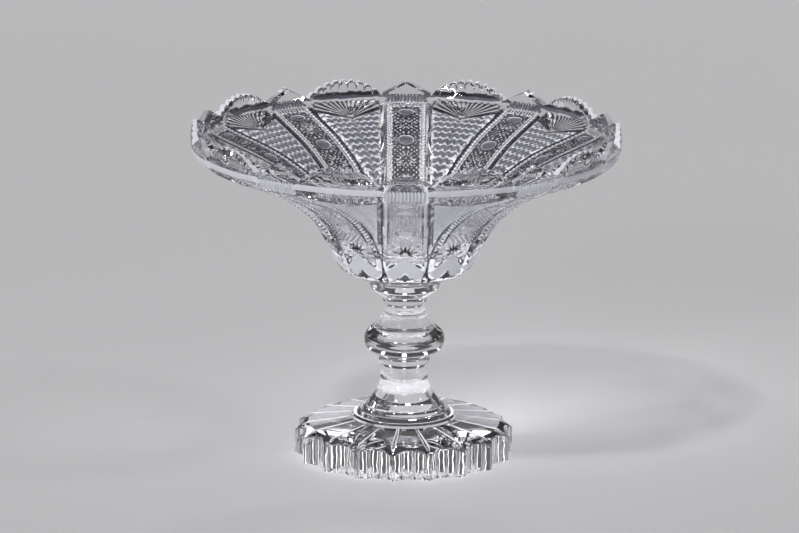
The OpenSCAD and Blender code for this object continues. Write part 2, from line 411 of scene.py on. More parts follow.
@dataclass(frozen=True)
class Diaper(Cut):
    """A lattice of V cuts on a field: two slanting families, and level ones where rows is true.

    Attributes:
        border: corners of the field as (x, s).
        wide: distance between two crossings across.
        tall: distance between two crossings along.
        depth: depth of the cuts.
        skin: how the field is left.
        home: the line that x is measured from.
        rows: True for level cuts through every second row of crossings.
        start: length at which the crossings are counted from.
        clear: ovals (x, s, a, b) that stay uncut.
        shade: how dark the shade painted in the cuts' bottoms gets.
    """

    border: tuple
    wide: float
    tall: float
    depth: float
    skin: Skin
    home: Home
    rows: bool = False
    start: float = 0.0
    clear: tuple = ()
    shade: float = 1.0

    def _inside(self, x: np.ndarray, s: np.ndarray) -> np.ndarray:
        """How far in the field each point is, from 0 at its border or a clear oval to 1 at 0.8 mm."""
        polygon = np.array(self.border)
        run = np.where(inside_polygon(polygon, x, s), polygon_distance(polygon, x, s), 0.0)
        for ox, os, a, b in self.clear:
            run = np.minimum(run, (np.hypot((x - ox) / a, (s - os) / b) - 1) * min(a, b))
        return np.clip(run / 0.8, 0, 1)

    def _lattice(self, x: np.ndarray, s: np.ndarray) -> tuple:
        """Rows up to each point, and its distance from the nearest slanting cut over their spacing.

        The slanting cuts lie where x / wide +- s / tall is whole.
        """
        along = (s - self.start) / self.tall
        p, q = x / self.wide + along, x / self.wide - along
        return along, np.minimum(np.abs(p - np.round(p)), np.abs(q - np.round(q)))

    def _crossing(self, m: np.ndarray, n: np.ndarray) -> np.ndarray:
        """Points (x, s) at which cut m of one slanting family crosses cut n of the other."""
        return np.stack([self.wide * (m + n) / 2, self.start + self.tall * (m - n) / 2], 1)

    def sink(self, x: np.ndarray, s: np.ndarray) -> np.ndarray:
        """Depth at (x, s): 1 - 2 d of the nearest cut, with d its distance over the slanting cuts' spacing.

        A level cut, where s / tall is whole, is a little shallower.
        """
        along, near = self._lattice(x, s)
        if self.rows:
            spacing = 1 / math.hypot(1 / self.wide, 1 / self.tall)
            near = np.minimum(near, np.abs(along - np.round(along)) * self.tall / spacing + 0.15)
        inside = self._inside(x, s)
        return np.where(inside > 0, self.depth * (1 - 2 * near) * inside + 0.01, -1.0)

    def tone(self, depth: np.ndarray, x: np.ndarray, s: np.ndarray) -> np.ndarray:
        """Painted shade: in the cuts' bottoms, or with level cuts on all but the slanting bottoms under each
        one.

        Those lighter bottoms make a painted zigzag of lit facets among shaded ones: between a level cut and
        halfway to the next, the painted shade grows from the least with three times the distance from the
        nearest slanting cut over their spacing.
        """
        least, halfway, slack = 0.36, 0.52, 0.02
        if not self.rows:
            return self.shade * np.clip(depth / (0.75 * self.depth), 0, 1)
        along, near = self._lattice(x, s)
        phase = (along + slack) % 1 - slack
        zigzag = least + (1 - least) * np.clip(3 * near, 0, 1)
        return self.shade * np.where(phase < halfway, zigzag, 1.0)

    def _reach(self) -> tuple:
        """Whole numbers of the cuts that may meet the field, for each family."""
        polygon = np.array(self.border)
        out = []
        for sign in (1, -1):
            number = polygon[:, 0] / self.wide + sign * (polygon[:, 1] - self.start) / self.tall
            out.append(np.arange(math.floor(number.min()), math.ceil(number.max()) + 1))
        return out[0], out[1]

    def lines(self) -> list:
        """The border and every cut's valley inside it, with points at the crossings and halfway between."""
        polygon = np.array(self.border)
        out = [np.vstack([resampled(polygon[i : i + 2], 2.0) for i in range(len(polygon) - 1)])]
        first, second = self._reach()
        lines = [self._crossing(m, np.arange(second[0], second[-1] + 0.5, 0.5)) for m in first]
        lines += [self._crossing(np.arange(first[0], first[-1] + 0.5, 0.5), n) for n in second]
        if self.rows:
            low, high = ((end - self.start) / self.tall for end in (polygon[:, 1].min(), polygon[:, 1].max()))
            x = self.wide * np.arange(-8, 8.5, 0.5)
            for k in range(math.ceil(low), math.floor(high) + 1):
                lines.append(np.stack([x, np.full(len(x), self.start + k * self.tall)], 1))
        for line in lines:
            for part in clipped(line, polygon):
                out += self._outside_ovals(part)
        return out

    def _outside_ovals(self, line: np.ndarray) -> list:
        """The runs of a line's steps whose middles lie outside the clear ovals."""
        middle = (line[:-1] + line[1:]) / 2
        keep = np.ones(len(middle), bool)
        for ox, os, a, b in self.clear:
            keep &= np.hypot((middle[:, 0] - ox) / a, (middle[:, 1] - os) / b) > 1
        runs = np.split(np.arange(len(middle)), np.flatnonzero(np.diff(keep.astype(int))) + 1)
        return [line[run[0] : run[-1] + 2] for run in runs if len(run) and keep[run[0]]]

    def tips(self) -> np.ndarray:
        """The diamonds' points well inside the field, without those on a level cut."""
        first, second = self._reach()
        m, n = np.meshgrid(first + 0.5, second + 0.5)
        tips = self._crossing(m.ravel(), n.ravel())
        if self.rows:
            along = (tips[:, 1] - self.start) / self.tall
            tips = tips[np.abs(along - np.round(along)) > 0.25]
        return tips[self._inside(tips[:, 0], tips[:, 1]) > 0.4]


def resampled(line: np.ndarray, pitch: float) -> np.ndarray:
    """A polyline with points at most pitch apart, its own points kept."""
    out = [line[:1]]
    for a, b in zip(line[:-1], line[1:]):
        count = max(1, int(math.ceil(np.hypot(*(b - a)) / pitch)))
        out.append(a + (b - a) * (np.arange(1, count + 1) / count)[:, None])
    return np.vstack(out)


def clipped(line: np.ndarray, polygon: np.ndarray) -> list:
    """The parts of a straight polyline that lie in a polygon, ended on the polygon's sides.

    Args:
        line: points on one straight line, in order.
        polygon: corners.

    Returns:
        List of arrays of points.
    """
    a, d = line[0], line[-1] - line[0]
    total = d @ d
    cuts = [0.0, 1.0]
    for p, q in zip(polygon, np.roll(polygon, -1, axis=0)):
        e = q - p
        cross = d[0] * e[1] - d[1] * e[0]
        if abs(cross) > 1e-9:
            t = ((p[0] - a[0]) * e[1] - (p[1] - a[1]) * e[0]) / cross
            u = ((p[0] - a[0]) * d[1] - (p[1] - a[1]) * d[0]) / cross
            if 0 <= u <= 1 and 0 < t < 1:
                cuts.append(t)
    cuts = sorted(cuts)
    own = ((line - a) @ d) / total
    out = []
    for low, high in zip(cuts[:-1], cuts[1:]):
        middle = a + d * (low + high) / 2
        if high - low > 1e-6 and inside_polygon(polygon, middle[:1], middle[1:2])[0]:
            t = np.concatenate([[low], own[(own > low + 1e-6) & (own < high - 1e-6)], [high]])
            out.append(a + t[:, None] * d)
    return out


@dataclass
class HalfRepeat:
    """Half of one repeat of a turned wall, flattened, triangulated along its cuts and bent back.

    Attributes:
        outline: the wall's outline.
        half_turn: angle of half a repeat in radians.
        top_x: turns at which the upper edge is given, in radians.
        top_s: length along the outline of the upper edge there.
        cuts: all cuts, each in its own home's coordinates.
        patches: (polygon, skin, home) of patches that are only left differently.
        pitch: distance between the plain points.
    """

    outline: Outline
    half_turn: float
    top_x: np.ndarray
    top_s: np.ndarray
    cuts: list
    patches: list
    pitch: float = 4.5

    def edge_x(self, s: np.ndarray) -> np.ndarray:
        """Distance round from the strip's middle to the panel's middle at length s."""
        return self.outline.at(s)[0] * self.half_turn

    def from_home(self, points: np.ndarray, home: Home) -> np.ndarray:
        """Points moved from a home's coordinates to the strip's."""
        if home is Home.STRIP:
            return points
        return np.stack([self.edge_x(points[:, 1]) - points[:, 0], points[:, 1]], 1)

    def homes(self, x: np.ndarray, s: np.ndarray, home: Home) -> list:
        """Coordinates of points in a home's frame and in the mirrored neighbour's."""
        edge = self.edge_x(s)
        if home is Home.STRIP:
            return [(x, s), (2 * edge - x, s)]
        return [(edge - x, s)]

    def sink(self, x: np.ndarray, s: np.ndarray) -> tuple:
        """Depth of all cuts together, the deepest one at each point, and the shade that it paints there."""
        depth, dark = np.zeros(np.shape(x)), np.zeros(np.shape(x))
        for cut in self.cuts:
            for hx, hs in self.homes(x, s, cut.home):
                here = cut.sink(hx, hs)
                dark = np.where(here > depth, cut.tone(here, hx, hs), dark)
                depth = np.maximum(depth, here)
        return depth, dark

    def skins(self, x: np.ndarray, s: np.ndarray) -> np.ndarray:
        """The skin at each point, as the number of its material."""
        out = np.full(np.shape(x), Skin.POLISHED.value)
        for polygon, skin, home in self.patches:
            for hx, hs in self.homes(x, s, home):
                out[inside_polygon(np.array(polygon), hx, hs)] = skin.value
        for cut in self.cuts:
            if cut.skin is not Skin.POLISHED:
                for hx, hs in self.homes(x, s, cut.home):
                    out[cut.holds(hx, hs)] = cut.skin.value
        return out

    def _top(self, x: np.ndarray) -> np.ndarray:
        """Length along the outline of the upper edge over each point, on its polyline."""
        return np.interp(x, self.top_x * self.outline.at(self.top_s)[0], self.top_s)

    def _mirrored(self, line: np.ndarray, home: Home) -> list:
        """A home's line in the strip's coordinates, and for a strip's line also the next strip's."""
        line = self.from_home(line, home)
        if home is Home.PANEL:
            return [line]
        return [line, np.stack([2 * self.edge_x(line[:, 1]) - line[:, 0], line[:, 1]], 1)]

    def _creases(self, lines: list) -> list:
        """All polylines that stay creases: the given ones, the cuts' lines and the patches' outlines."""
        creases = list(lines)
        for cut in self.cuts:
            for line in cut.lines():
                creases += self._mirrored(line, cut.home)
        for polygon, _, home in self.patches:
            creases += self._mirrored(resampled(np.vstack([polygon, polygon[:1]]), 2.5), home)
        return creases

    def _border(self, top: np.ndarray) -> np.ndarray:
        """Points once round the half repeat: up in the panel's middle, along the top, down in the strip's."""
        down = np.linspace(self.top_s[0], 0, int(self.top_s[0] / 2) + 2)
        left = np.stack([np.zeros_like(down), down], 1)
        return np.vstack([self._side()[:-1], top[::-1][:-1], left[:-1]])

    def _loose(self, fixed: np.ndarray) -> np.ndarray:
        """Points off the lines: the diamonds' tips and the plain ones. Those near a side are put on it."""
        near_side, margin = 0.02, 0.25
        tips = [self.from_home(cut.tips(), cut.home) for cut in self.cuts if isinstance(cut, Diaper)]
        extra = np.vstack([*tips, self._plain_points(fixed)])
        seam = np.abs(extra[:, 0]) < near_side
        extra[seam, 0] = 0.0
        far = np.abs(extra[:, 0] - self.edge_x(extra[:, 1])) < near_side
        extra[far, 0] = self._right(extra[far, 1])
        under = extra[:, 1] < self._top(extra[:, 0]) - margin
        return extra[self._inside(extra, margin) | ((seam | far) & under)]

    def build(self, lines: list) -> tuple:
        """Triangulates the flattened half repeat with every line as a crease.

        Args:
            lines: further polylines in the strip's coordinates, such as the outline's corners.

        Returns:
            Turn and flattened place of each vertex, the triangles, and the upper edge's vertices in order.
        """
        merge, on_line, thin = 8e-3, 0.01, 1e-3
        beside, over = 0.8, 1.5
        top = np.stack([self.top_x * self.outline.at(self.top_s)[0], self.top_s], 1)
        border = self._border(top)
        index = np.arange(len(border))
        points, edges = [border], [np.stack([index, np.roll(index, -1)], 1)]
        count = len(border)
        for line in self._creases(lines):
            near = (line[:, 0] > -beside) & (line[:, 0] < self.edge_x(line[:, 1]) + beside)
            near &= (line[:, 1] >= 0) & (line[:, 1] < self._top(line[:, 0]) + over)
            index = np.flatnonzero(near[:-1] & near[1:])
            if len(index):
                points.append(line)
                edges.append(np.stack([index, index + 1], 1) + count)
                count += len(line)
        used, edges = np.unique(np.vstack(edges), return_inverse=True)
        fixed = np.vstack(points)[used]
        coords = np.vstack([fixed, self._loose(fixed)])
        result = delaunay_2d_cdt(coords.tolist(), edges.reshape(-1, 2).tolist(), [], 0, merge, False)
        flat = np.array([tuple(v) for v in result[0]], float)
        tris = np.array([f for f in result[2] if len(f) == 3], int)
        tris = tris[self._inside(flat[tris].mean(1), 0.0)]
        area = np.cross(flat[tris[:, 1]] - flat[tris[:, 0]], flat[tris[:, 2]] - flat[tris[:, 0]])
        tris[area < 0] = tris[area < 0][:, ::-1]

        on_left = flat[:, 0] < on_line
        on_right = flat[:, 0] > self._right(flat[:, 1]) - on_line
        on_top = np.abs(flat[:, 1] - np.interp(flat[:, 0], top[:, 0], top[:, 1])) < on_line
        sliver = on_left[tris].all(1) | on_right[tris].all(1) | (on_top[tris].all(1) & (np.abs(area) < thin))
        used, tris = np.unique(tris[~sliver], return_inverse=True)
        tris = tris.reshape(-1, 3)
        flat, on_left, on_right, on_top = flat[used], on_left[used], on_right[used], on_top[used]
        turn = flat[:, 0] / np.maximum(self.outline.at(flat[:, 1])[0], 1e-6)
        turn[(flat[:, 1] < 1e-6) | on_left] = 0.0
        turn[on_right] = self.half_turn
        rim = np.flatnonzero(on_top)
        return turn, flat, tris, rim[np.argsort(turn[rim])]

    def _inside(self, p: np.ndarray, margin: float) -> np.ndarray:
        """True for flattened points inside the half repeat by at least the margin."""
        x, s = p[:, 0], p[:, 1]
        return (x > margin) & (x < self._right(s) - margin) & (s > margin) & (s < self._top(x) - margin)

    def _side(self) -> np.ndarray:
        """Points of the border in the panel's middle, from the axis up to the upper edge."""
        s = np.linspace(0, self.top_s[-1], int(self.top_s[-1] / 1.5) + 2)
        return np.stack([self.edge_x(s), s], 1)

    def _right(self, s: np.ndarray) -> np.ndarray:
        """Distance round of the border in the panel's middle at length s, on its polyline."""
        side = self._side()
        return np.interp(s, side[:, 1], side[:, 0])

    def _plain_points(self, fixed: np.ndarray) -> np.ndarray:
        """A staggered grid of points over the wall, away from the points of the lines."""
        row_step, apart_by, batch = self.pitch * 0.8, self.pitch * 0.4, 200
        rows = np.arange(self.pitch / 2, self.top_s.max(), row_step)
        out = []
        for i, s in enumerate(rows):
            wide = float(self.edge_x(s))
            count = max(1, int(round(wide / self.pitch)))
            x = (np.arange(count + 1) + 0.5 * (i % 2)) * wide / count
            out.append(np.stack([x, np.full(count + 1, s)], 1))
        grid = np.vstack(out)
        apart = np.empty(len(grid))
        for i in range(0, len(grid), batch):
            d = grid[i : i + batch, None] - fixed[None]
            apart[i : i + batch] = np.sqrt((d**2).sum(-1)).min(1)
        return grid[apart > apart_by]


def bent(outline: Outline, turn: np.ndarray, s: np.ndarray, sink: np.ndarray) -> np.ndarray:
    """Places on a turned wall: the outline's point, moved inwards by the depth, at its turn round the axis.

    Args:
        outline: the wall's outline.
        turn: turns round the axis in radians.
        s: lengths along the outline.
        sink: depths along the inward normal.

    Returns:
        Array of (radius, height, turn).
    """
    r, z, nr, nz = outline.at(s)
    return np.stack([r + sink * nr, z + sink * nz, turn], 1)


def all_round(half: np.ndarray, tris: np.ndarray, repeats: int, start: float) -> tuple:
    """Copies half a repeat to the whole turn, mirrored and turned.

    Args:
        half: (radius, height, turn) of each vertex.
        tris: triangles, outward when turn rises to the right.
        repeats: number of repeats.
        start: turn of the first repeat's middle in radians.

    Returns:
        Vertices in metres and triangles.
    """
    points, faces = [], []
    for k in range(repeats):
        for side in (1, -1):
            turn = start + 2 * math.pi * k / repeats + side * half[:, 2]
            points.append(np.stack([half[:, 0] * np.cos(turn), half[:, 0] * np.sin(turn), half[:, 1]], 1))
            faces.append((tris if side > 0 else tris[:, ::-1]) + len(half) * (2 * k + (side < 0)))
    return np.vstack(points) * MM, np.vstack(faces)


def new_piece(
    name: str,
    points: np.ndarray,
    faces: np.ndarray,
    skins: np.ndarray,
    finishes: list,
    sharp: float,
    deep: np.ndarray,
) -> bpy.types.Object:
    """Makes one closed mesh object of arrays.

    Args:
        name: the piece's name.
        points: vertices in metres.
        faces: triangles or quads.
        skins: material number of each face.
        finishes: materials, in the order of their numbers.
        sharp: edges that turn more than this many degrees stay crisp.
        deep: the shade painted at each vertex.

    Returns:
        The object.
    """
    weld, least = 2e-6, 1e-6
    mesh = bpy.data.meshes.new(name)
    mesh.from_pydata(points.tolist(), [], faces.tolist(), shade_flat=False)
    for finish in finishes:
        mesh.materials.append(finish)
    mesh.polygons.foreach_set("material_index", np.asarray(skins, np.int32))
    # Shade painted on each vertex, which the materials mix in as a dark colour in the cuts' bottoms.
    darkness = mesh.attributes.new("painted_cut_shade", "FLOAT", "POINT")
    darkness.data.foreach_set("value", np.asarray(deep, np.float32))
    bm = bmesh.new()
    bm.from_mesh(mesh)
    bmesh.ops.remove_doubles(bm, verts=bm.verts, dist=weld)
    bmesh.ops.dissolve_degenerate(bm, dist=least, edges=bm.edges)
    open_edges = sum(1 for e in bm.edges if len(e.link_faces) != 2)
    bm.to_mesh(mesh)
    bm.free()
    mesh.set_sharp_from_angle(angle=math.radians(sharp))
    obj = bpy.data.objects.new(name, mesh)
    bpy.context.scene.collection.objects.link(obj)
    tris = sum(len(p.vertices) - 2 for p in mesh.polygons)
    LOG.info("%s: %d triangles, %d open edges", name, tris, open_edges)
    return obj


def add_node(
    tree: bpy.types.NodeTree, kind: str, values: dict | None = None, **settings: object
) -> bpy.types.Node:
    """Adds one shader node.

    Args:
        tree: the tree that it goes into.
        kind: its type.
        values: values of its input sockets, by name.
        settings: its own settings, which are made before the values.

    Returns:
        The node.
    """
    node = tree.nodes.new(kind)
    for name, value in settings.items():
        setattr(node, name, value)
    for name, value in (values or {}).items():
        node.inputs[name].default_value = value
    return node


def surface_group(name: str, scales: dict, details: tuple, mask: str, thin: tuple = ()) -> bpy.types.NodeTree:
    """Makes a shader node group that puts out a height and a mask, each a noise of its own scale.

    Args:
        name: the group's name.
        scales: name and usual value of the height's scale, then of the mask's.
        details: detail of the height's noise, then of the mask's.
        mask: name of the mask's output.
        thin: values of the mask's noise that become 0 and 1; empty to leave them.

    Returns:
        The group.
    """
    group = bpy.data.node_groups.new(name, "ShaderNodeTree")
    for label, scale in scales.items():
        socket = group.interface.new_socket(label, in_out="INPUT", socket_type="NodeSocketFloat")
        socket.default_value = scale
    for label in ("Height", mask):
        group.interface.new_socket(label, in_out="OUTPUT", socket_type="NodeSocketFloat")
    take, give = group.nodes.new("NodeGroupInput"), group.nodes.new("NodeGroupOutput")
    place, link = add_node(group, "ShaderNodeTexCoord"), group.links.new
    for scale, detail, label in zip(scales, details, ("Height", mask)):
        noise = add_node(group, "ShaderNodeTexNoise", {"Detail": detail})
        link(place.outputs["Object"], noise.inputs["Vector"])
        link(take.outputs[scale], noise.inputs["Scale"])
        value = noise.outputs["Fac"]
        if thin and label == mask:
            ends = {"From Min": thin[0], "From Max": thin[1]}
            narrow = add_node(group, "ShaderNodeMapRange", ends)
            link(value, narrow.inputs["Value"])
            value = narrow.outputs["Result"]
        link(value, give.inputs[label])
    return group


def new_material(name: str) -> tuple:
    """Makes a material, and returns it, its node tree and its Principled BSDF."""
    mat = bpy.data.materials.new(name)
    mat.use_nodes = True
    return mat, mat.node_tree, mat.node_tree.nodes["Principled BSDF"]


@dataclass(frozen=True)
class GlassFinish:
    """One state of the glass's surface.

    Attributes:
        name: the material's name.
        tint: colour of the glass.
        shade: colour in the marks or patches.
        deep: colour of the shade painted in a deep cut's bottom, which stands for the dark that it mirrors.
        rough: roughness of the plain surface.
        rough_marks: roughness in the marks or patches.
        clear: share of light that goes through.
        bump: strength of the height.
        bump_size: size of the height in metres.
        lamp_pass: share of lamp light that goes straight through to what is behind.
        grain: True for a surface left from the stone wheel, False for a polished one.
        dark_from: painted shade of a cut at which the deep colour starts, seen from within the glass.
        dark_to: painted shade at which it is full there.
        wave: scale of the polish's waves.
        outside: painted shade at which the deep colour starts and is full, seen from outside too.
        ior: index of refraction.
    """

    name: str
    tint: tuple
    shade: tuple
    deep: tuple
    rough: float
    rough_marks: float
    clear: float
    bump: float
    bump_size: float
    lamp_pass: float
    grain: bool
    dark_from: float = 0.4
    dark_to: float = 0.7
    wave: float = 60.0
    outside: tuple = (1.4, 1.8)
    ior: float = 1.53

    def material(self, effect: bpy.types.NodeTree) -> bpy.types.Material:
        """Makes the material round its effect group.

        Args:
            effect: the polish or grain group.

        Returns:
            The material.
        """
        mat, tree, shader = new_material(self.name)
        link = tree.links.new
        shader.inputs["IOR"].default_value = self.ior
        shader.inputs["Transmission Weight"].default_value = self.clear
        scale = {} if self.grain else {"Wave Scale": self.wave}
        work = add_node(tree, "ShaderNodeGroup", scale, node_tree=effect)
        mask = work.outputs["Patches" if self.grain else "Marks"]
        roughs = {"To Min": self.rough, "To Max": self.rough_marks}
        rough = add_node(tree, "ShaderNodeMapRange", roughs)
        link(mask, rough.inputs["Value"])
        link(rough.outputs["Result"], shader.inputs["Roughness"])
        colours = {"A": (*self.tint, 1), "B": (*self.shade, 1)}
        tint = add_node(tree, "ShaderNodeMix", colours, data_type="RGBA")
        link(mask, tint.inputs["Factor"])

        # Painted shade: the deep colour is mixed into the base colour by the shade painted on the vertices,
        # from within the glass (Backfacing) alone, and from outside too where it is well over 1.
        depth = add_node(tree, "ShaderNodeAttribute", attribute_name="painted_cut_shade")
        side = add_node(tree, "ShaderNodeNewGeometry")
        seen_within = {"From Min": self.dark_from, "From Max": self.dark_to}
        seen_outside = {"From Min": self.outside[0], "From Max": self.outside[1]}
        inner = add_node(tree, "ShaderNodeMapRange", seen_within)
        outer = add_node(tree, "ShaderNodeMapRange", seen_outside)
        within = add_node(tree, "ShaderNodeMath", operation="MULTIPLY")
        most = add_node(tree, "ShaderNodeMath", operation="MAXIMUM")
        bottom = add_node(tree, "ShaderNodeMix", {"B": (*self.deep, 1)}, data_type="RGBA")
        link(depth.outputs["Fac"], inner.inputs["Value"])
        link(inner.outputs["Result"], within.inputs[0])
        link(side.outputs["Backfacing"], within.inputs[1])
        link(depth.outputs["Fac"], outer.inputs["Value"])
        link(within.outputs["Value"], most.inputs[0])
        link(outer.outputs["Result"], most.inputs[1])
        link(most.outputs["Value"], bottom.inputs["Factor"])
        link(tint.outputs["Result"], bottom.inputs["A"])
        link(bottom.outputs["Result"], shader.inputs["Base Color"])

        bump = add_node(tree, "ShaderNodeBump", {"Strength": self.bump, "Distance": self.bump_size})
        link(work.outputs["Height"], bump.inputs["Height"])
        link(bump.outputs["Normal"], shader.inputs["Normal"])
        if self.lamp_pass > 0:
            self._let_lamps_through(tree, shader)
        return mat

    def _let_lamps_through(self, tree: bpy.types.NodeTree, shader: bpy.types.Node) -> None:
        """Lets the share of lamp light that passes straight through, past the shader."""
        link = tree.links.new
        path = add_node(tree, "ShaderNodeLightPath")
        share = add_node(tree, "ShaderNodeMath", operation="MULTIPLY")
        share.inputs[1].default_value = self.lamp_pass
        through, mix = add_node(tree, "ShaderNodeBsdfTransparent"), add_node(tree, "ShaderNodeMixShader")
        link(path.outputs["Is Shadow Ray"], share.inputs[0])
        link(share.outputs["Value"], mix.inputs["Fac"])
        link(shader.outputs["BSDF"], mix.inputs[1])
        link(through.outputs["BSDF"], mix.inputs[2])
        link(mix.outputs["Shader"], tree.nodes["Material Output"].inputs["Surface"])


@dataclass(frozen=True)
class BondFilm:
    """The clear bond between two pieces of glass, all but unseen, with a few tiny bubbles.

    Attributes:
        name: the material's name.
        tint: its colour.
        rough: its roughness.
        film: alpha of the film.
        bubbles: alpha of a bubble.
        bubble_scale: scale of the bubbles' pattern.
    """

    name: str = "clear_bond"
    tint: tuple = (0.96, 0.97, 1.0)
    rough: float = 0.1
    film: float = 0.03
    bubbles: float = 0.35
    bubble_scale: float = 400.0

    def material(self) -> bpy.types.Material:
        """Makes the material: a low alpha that rises in the bubbles."""
        mat, tree, shader = new_material(self.name)
        shader.inputs["Base Color"].default_value = (*self.tint, 1)
        shader.inputs["Roughness"].default_value = self.rough
        place = add_node(tree, "ShaderNodeTexCoord")
        cells = add_node(tree, "ShaderNodeTexVoronoi", {"Scale": self.bubble_scale})
        dots = {"From Min": 0.16, "From Max": 0.1, "To Min": self.film, "To Max": self.bubbles}
        alpha = add_node(tree, "ShaderNodeMapRange", dots)
        tree.links.new(place.outputs["Object"], cells.inputs["Vector"])
        tree.links.new(cells.outputs["Distance"], alpha.inputs["Value"])
        tree.links.new(alpha.outputs["Result"], shader.inputs["Alpha"])
        return mat


@dataclass(frozen=True)
class PaleFloor:
    """A plain pale studio floor.

    Attributes:
        colour: its colour.
        uneven: how dark its darker patches are, as a share.
        rough: its roughness.
    """

    colour: tuple = (0.5, 0.5, 0.51)
    uneven: float = 0.97
    rough: float = 0.9

    def material(self) -> bpy.types.Material:
        """Makes the floor's material, its colour a little uneven."""
        mat, tree, shader = new_material("pale_floor")
        shader.inputs["Roughness"].default_value = self.rough
        place = add_node(tree, "ShaderNodeTexCoord")
        noise = add_node(tree, "ShaderNodeTexNoise", {"Scale": 2.0})
        darker = (*(c * self.uneven for c in self.colour), 1)
        tone = add_node(tree, "ShaderNodeMix", {"A": (*self.colour, 1), "B": darker}, data_type="RGBA")
        tree.links.new(place.outputs["Object"], noise.inputs["Vector"])
        tree.links.new(noise.outputs["Fac"], tone.inputs["Factor"])
        tree.links.new(tone.outputs["Result"], shader.inputs["Base Color"])
        return mat


@dataclass
class CutBowl:
    """The thick flared bowl with its cut outside and its scalloped and pointed rim.

    A repeat is one cut strip with half a panel on each side. Lengths along the wall start at the middle
    of the pad, so the wall begins near 25 and the rim's edge lies near 200.

    Attributes:
        strips: number of repeats.
        bond_r: radius of the pad's bonded middle.
        crown_z: height of a scallop's middle bead.
        tip_z: height of a point.
        valley_z: height between a point and a scallop.
        point_turn: half a point's width, in degrees round the axis.
        beads: number of beads on a scallop.
        bead_turn: width of a bead, in degrees round the axis.
        bead_depth: how far the gap between two beads drops.
        bead_power: how flat a bead's top is.
        scallop_r: radius of the arc over a scallop's beads.
        lip_fall: how much lower the inner edge is than the outer one, at a scallop's middle.
        lip_rise: how far the lip's middle stands over the mean of its two edges.
        band_knot: the outer outline's point at the foot of the band under the rim.
        bar: lengths of the satin bar's foot and top, and the top of the band of painted shade that starts at
            its foot.
        bar_from: distance round from a strip's middle to the bar's end.
        groove_x: distance round from a strip's middle to the long cut beside it.
        groove_s: length at which that cut starts.
        groove_length: its length.
        groove_half_w: half its width.
        groove_depth: its depth.
        bead_line: first and last length of the beaded line's notches, and the distance between two.
        ovals: length, half width and half height of each satin oval.
        ring_w: half the width of the V cut round an oval.
        notches: number of notches round an oval.
        notch_off: distance of their starts from the oval.
        clear_w: distance from an oval at which the small diamonds start.
        stars: length, half height and number of rays of each star.
        star_side: half a star's width.
        hub: radius of a star's plain middle.
        field: lengths of the foot and the top of a strip's diamonds, and half their width.
        frosted: corners of the lightly ground patch behind them.
        peak: corners of half the satin peak at the foot of a strip.
        spray: length of the spray's centre, the distance of its rays from there, and their length.
        panel_top: length of the lattice's top at the panel's side and in its middle.
        fan_s: length of a fan's centre.
        fan_top: length at which its upright rays end.
        fan_side: distance at which its level rays end.
        fan_step: degrees between two rays.
        outer: outline of the outside.
        inner: outline of the inside.
    """

    strips: int = 10
    bond_r: float = 24.0
    crown_z: float = 234.0
    tip_z: float = 231.6
    valley_z: float = 222.4
    point_turn: float = 6.85
    beads: int = 9
    bead_turn: float = 2.422
    bead_depth: float = 1.9
    bead_power: float = 2.2
    scallop_r: float = 39.55
    lip_fall: float = 1.7
    lip_rise: float = 0.3
    band_knot: int = 15
    bar: tuple = (183.4, 187.6, 190.4)
    bar_from: float = 14.9
    groove_x: float = 16.2
    groove_s: float = 44.0
    groove_length: float = 134.0
    groove_half_w: float = 2.9
    groove_depth: float = 2.4
    bead_line: tuple = (78, 176, 3.0)
    ovals: tuple = ((165.4, 5.3, 3.2), (132.6, 5.3, 4.4), (94.2, 4.5, 3.6))
    ring_w: float = 1.4
    notches: int = 14
    notch_off: float = 2.2
    clear_w: float = 2.5
    stars: tuple = ((149.2, 6.5, 12), (113.4, 8.6, 14))
    star_side: float = 10.4
    hub: float = 2.8
    field: tuple = (78, 172, 10.6)
    frosted: tuple = ((-1.0, 77.6), (10.8, 77.6), (10.8, 173.6), (-1.0, 173.6))
    peak: tuple = ((0, 69.5), (14.9, 54.0), (7.0, 48.5), (0, 56.0))
    spray: tuple = (70.0, 2.0, 9.0)
    panel_top: tuple = (168.8, 156.6)
    fan_s: float = 160.6
    fan_top: float = 180.6
    fan_side: float = 25.3
    fan_step: int = 10
    outer: Outline = Outline(
        (
            (0, 123), (24.6, 123), (34.7, 127.7), (43.2, 131.4), (47.5, 136.2), (50.4, 141.9), (54.9, 151.5),
            (59.7, 159.6), (66.7, 169.1), (75.5, 177.2), (85.4, 184.6), (97.4, 191.6), (110.3, 197.7),
            (125.4, 203.3), (137.2, 208.1), (144, 212.1), (146.7, 216), (147.3, 219.6), (147.3, 226.2),
            (145.6, 234),
        ),
        (1, 18),
    )
    inner: Outline = Outline(
        (
            (0, 147.2), (20, 147.3), (32, 148.6), (40.5, 153), (45.5, 159.5), (51, 167.5), (57.8, 177.1),
            (67.8, 186.4), (79, 194.4), (91.8, 202.2), (106, 208.6), (121.1, 214.5), (131, 218.6),
            (137.2, 222.6), (139.2, 226.5), (140.1, 232.3),
        )
    )

    def half_turn(self) -> float:
        """Angle of half a repeat."""
        return math.pi / self.strips

    def rim_edge(self) -> tuple:
        """Turn and height of the rim's outer edge: a point's straight flank, then a scallop of beads.

        The scallop is an arc of scallop_r, less the beads' drop, which grows as a power of the distance
        from each bead's middle.
        """
        flank = np.radians(np.linspace(0, self.point_turn, 6)[:-1])
        flank_z = self.tip_z + (self.valley_z - self.tip_z) * flank / math.radians(self.point_turn)
        half = math.degrees(self.half_turn())
        first = half - self.beads / 2 * self.bead_turn
        turns = np.concatenate([[self.point_turn], np.linspace(first, half, 28)])
        side = self.outer.points[-2][0] * np.sin(np.radians(half - turns))
        arc = self.crown_z - self.scallop_r + np.sqrt(np.maximum(self.scallop_r**2 - side**2, 0))
        place = (half - turns) / self.bead_turn + 0.5
        off = np.abs(2 * (place - np.floor(place)) - 1)
        height = np.maximum(arc - self.bead_depth * off**self.bead_power, self.valley_z - 0.3)
        height[0] = self.valley_z
        return np.concatenate([flank, np.radians(turns)]), np.concatenate([flank_z, height])

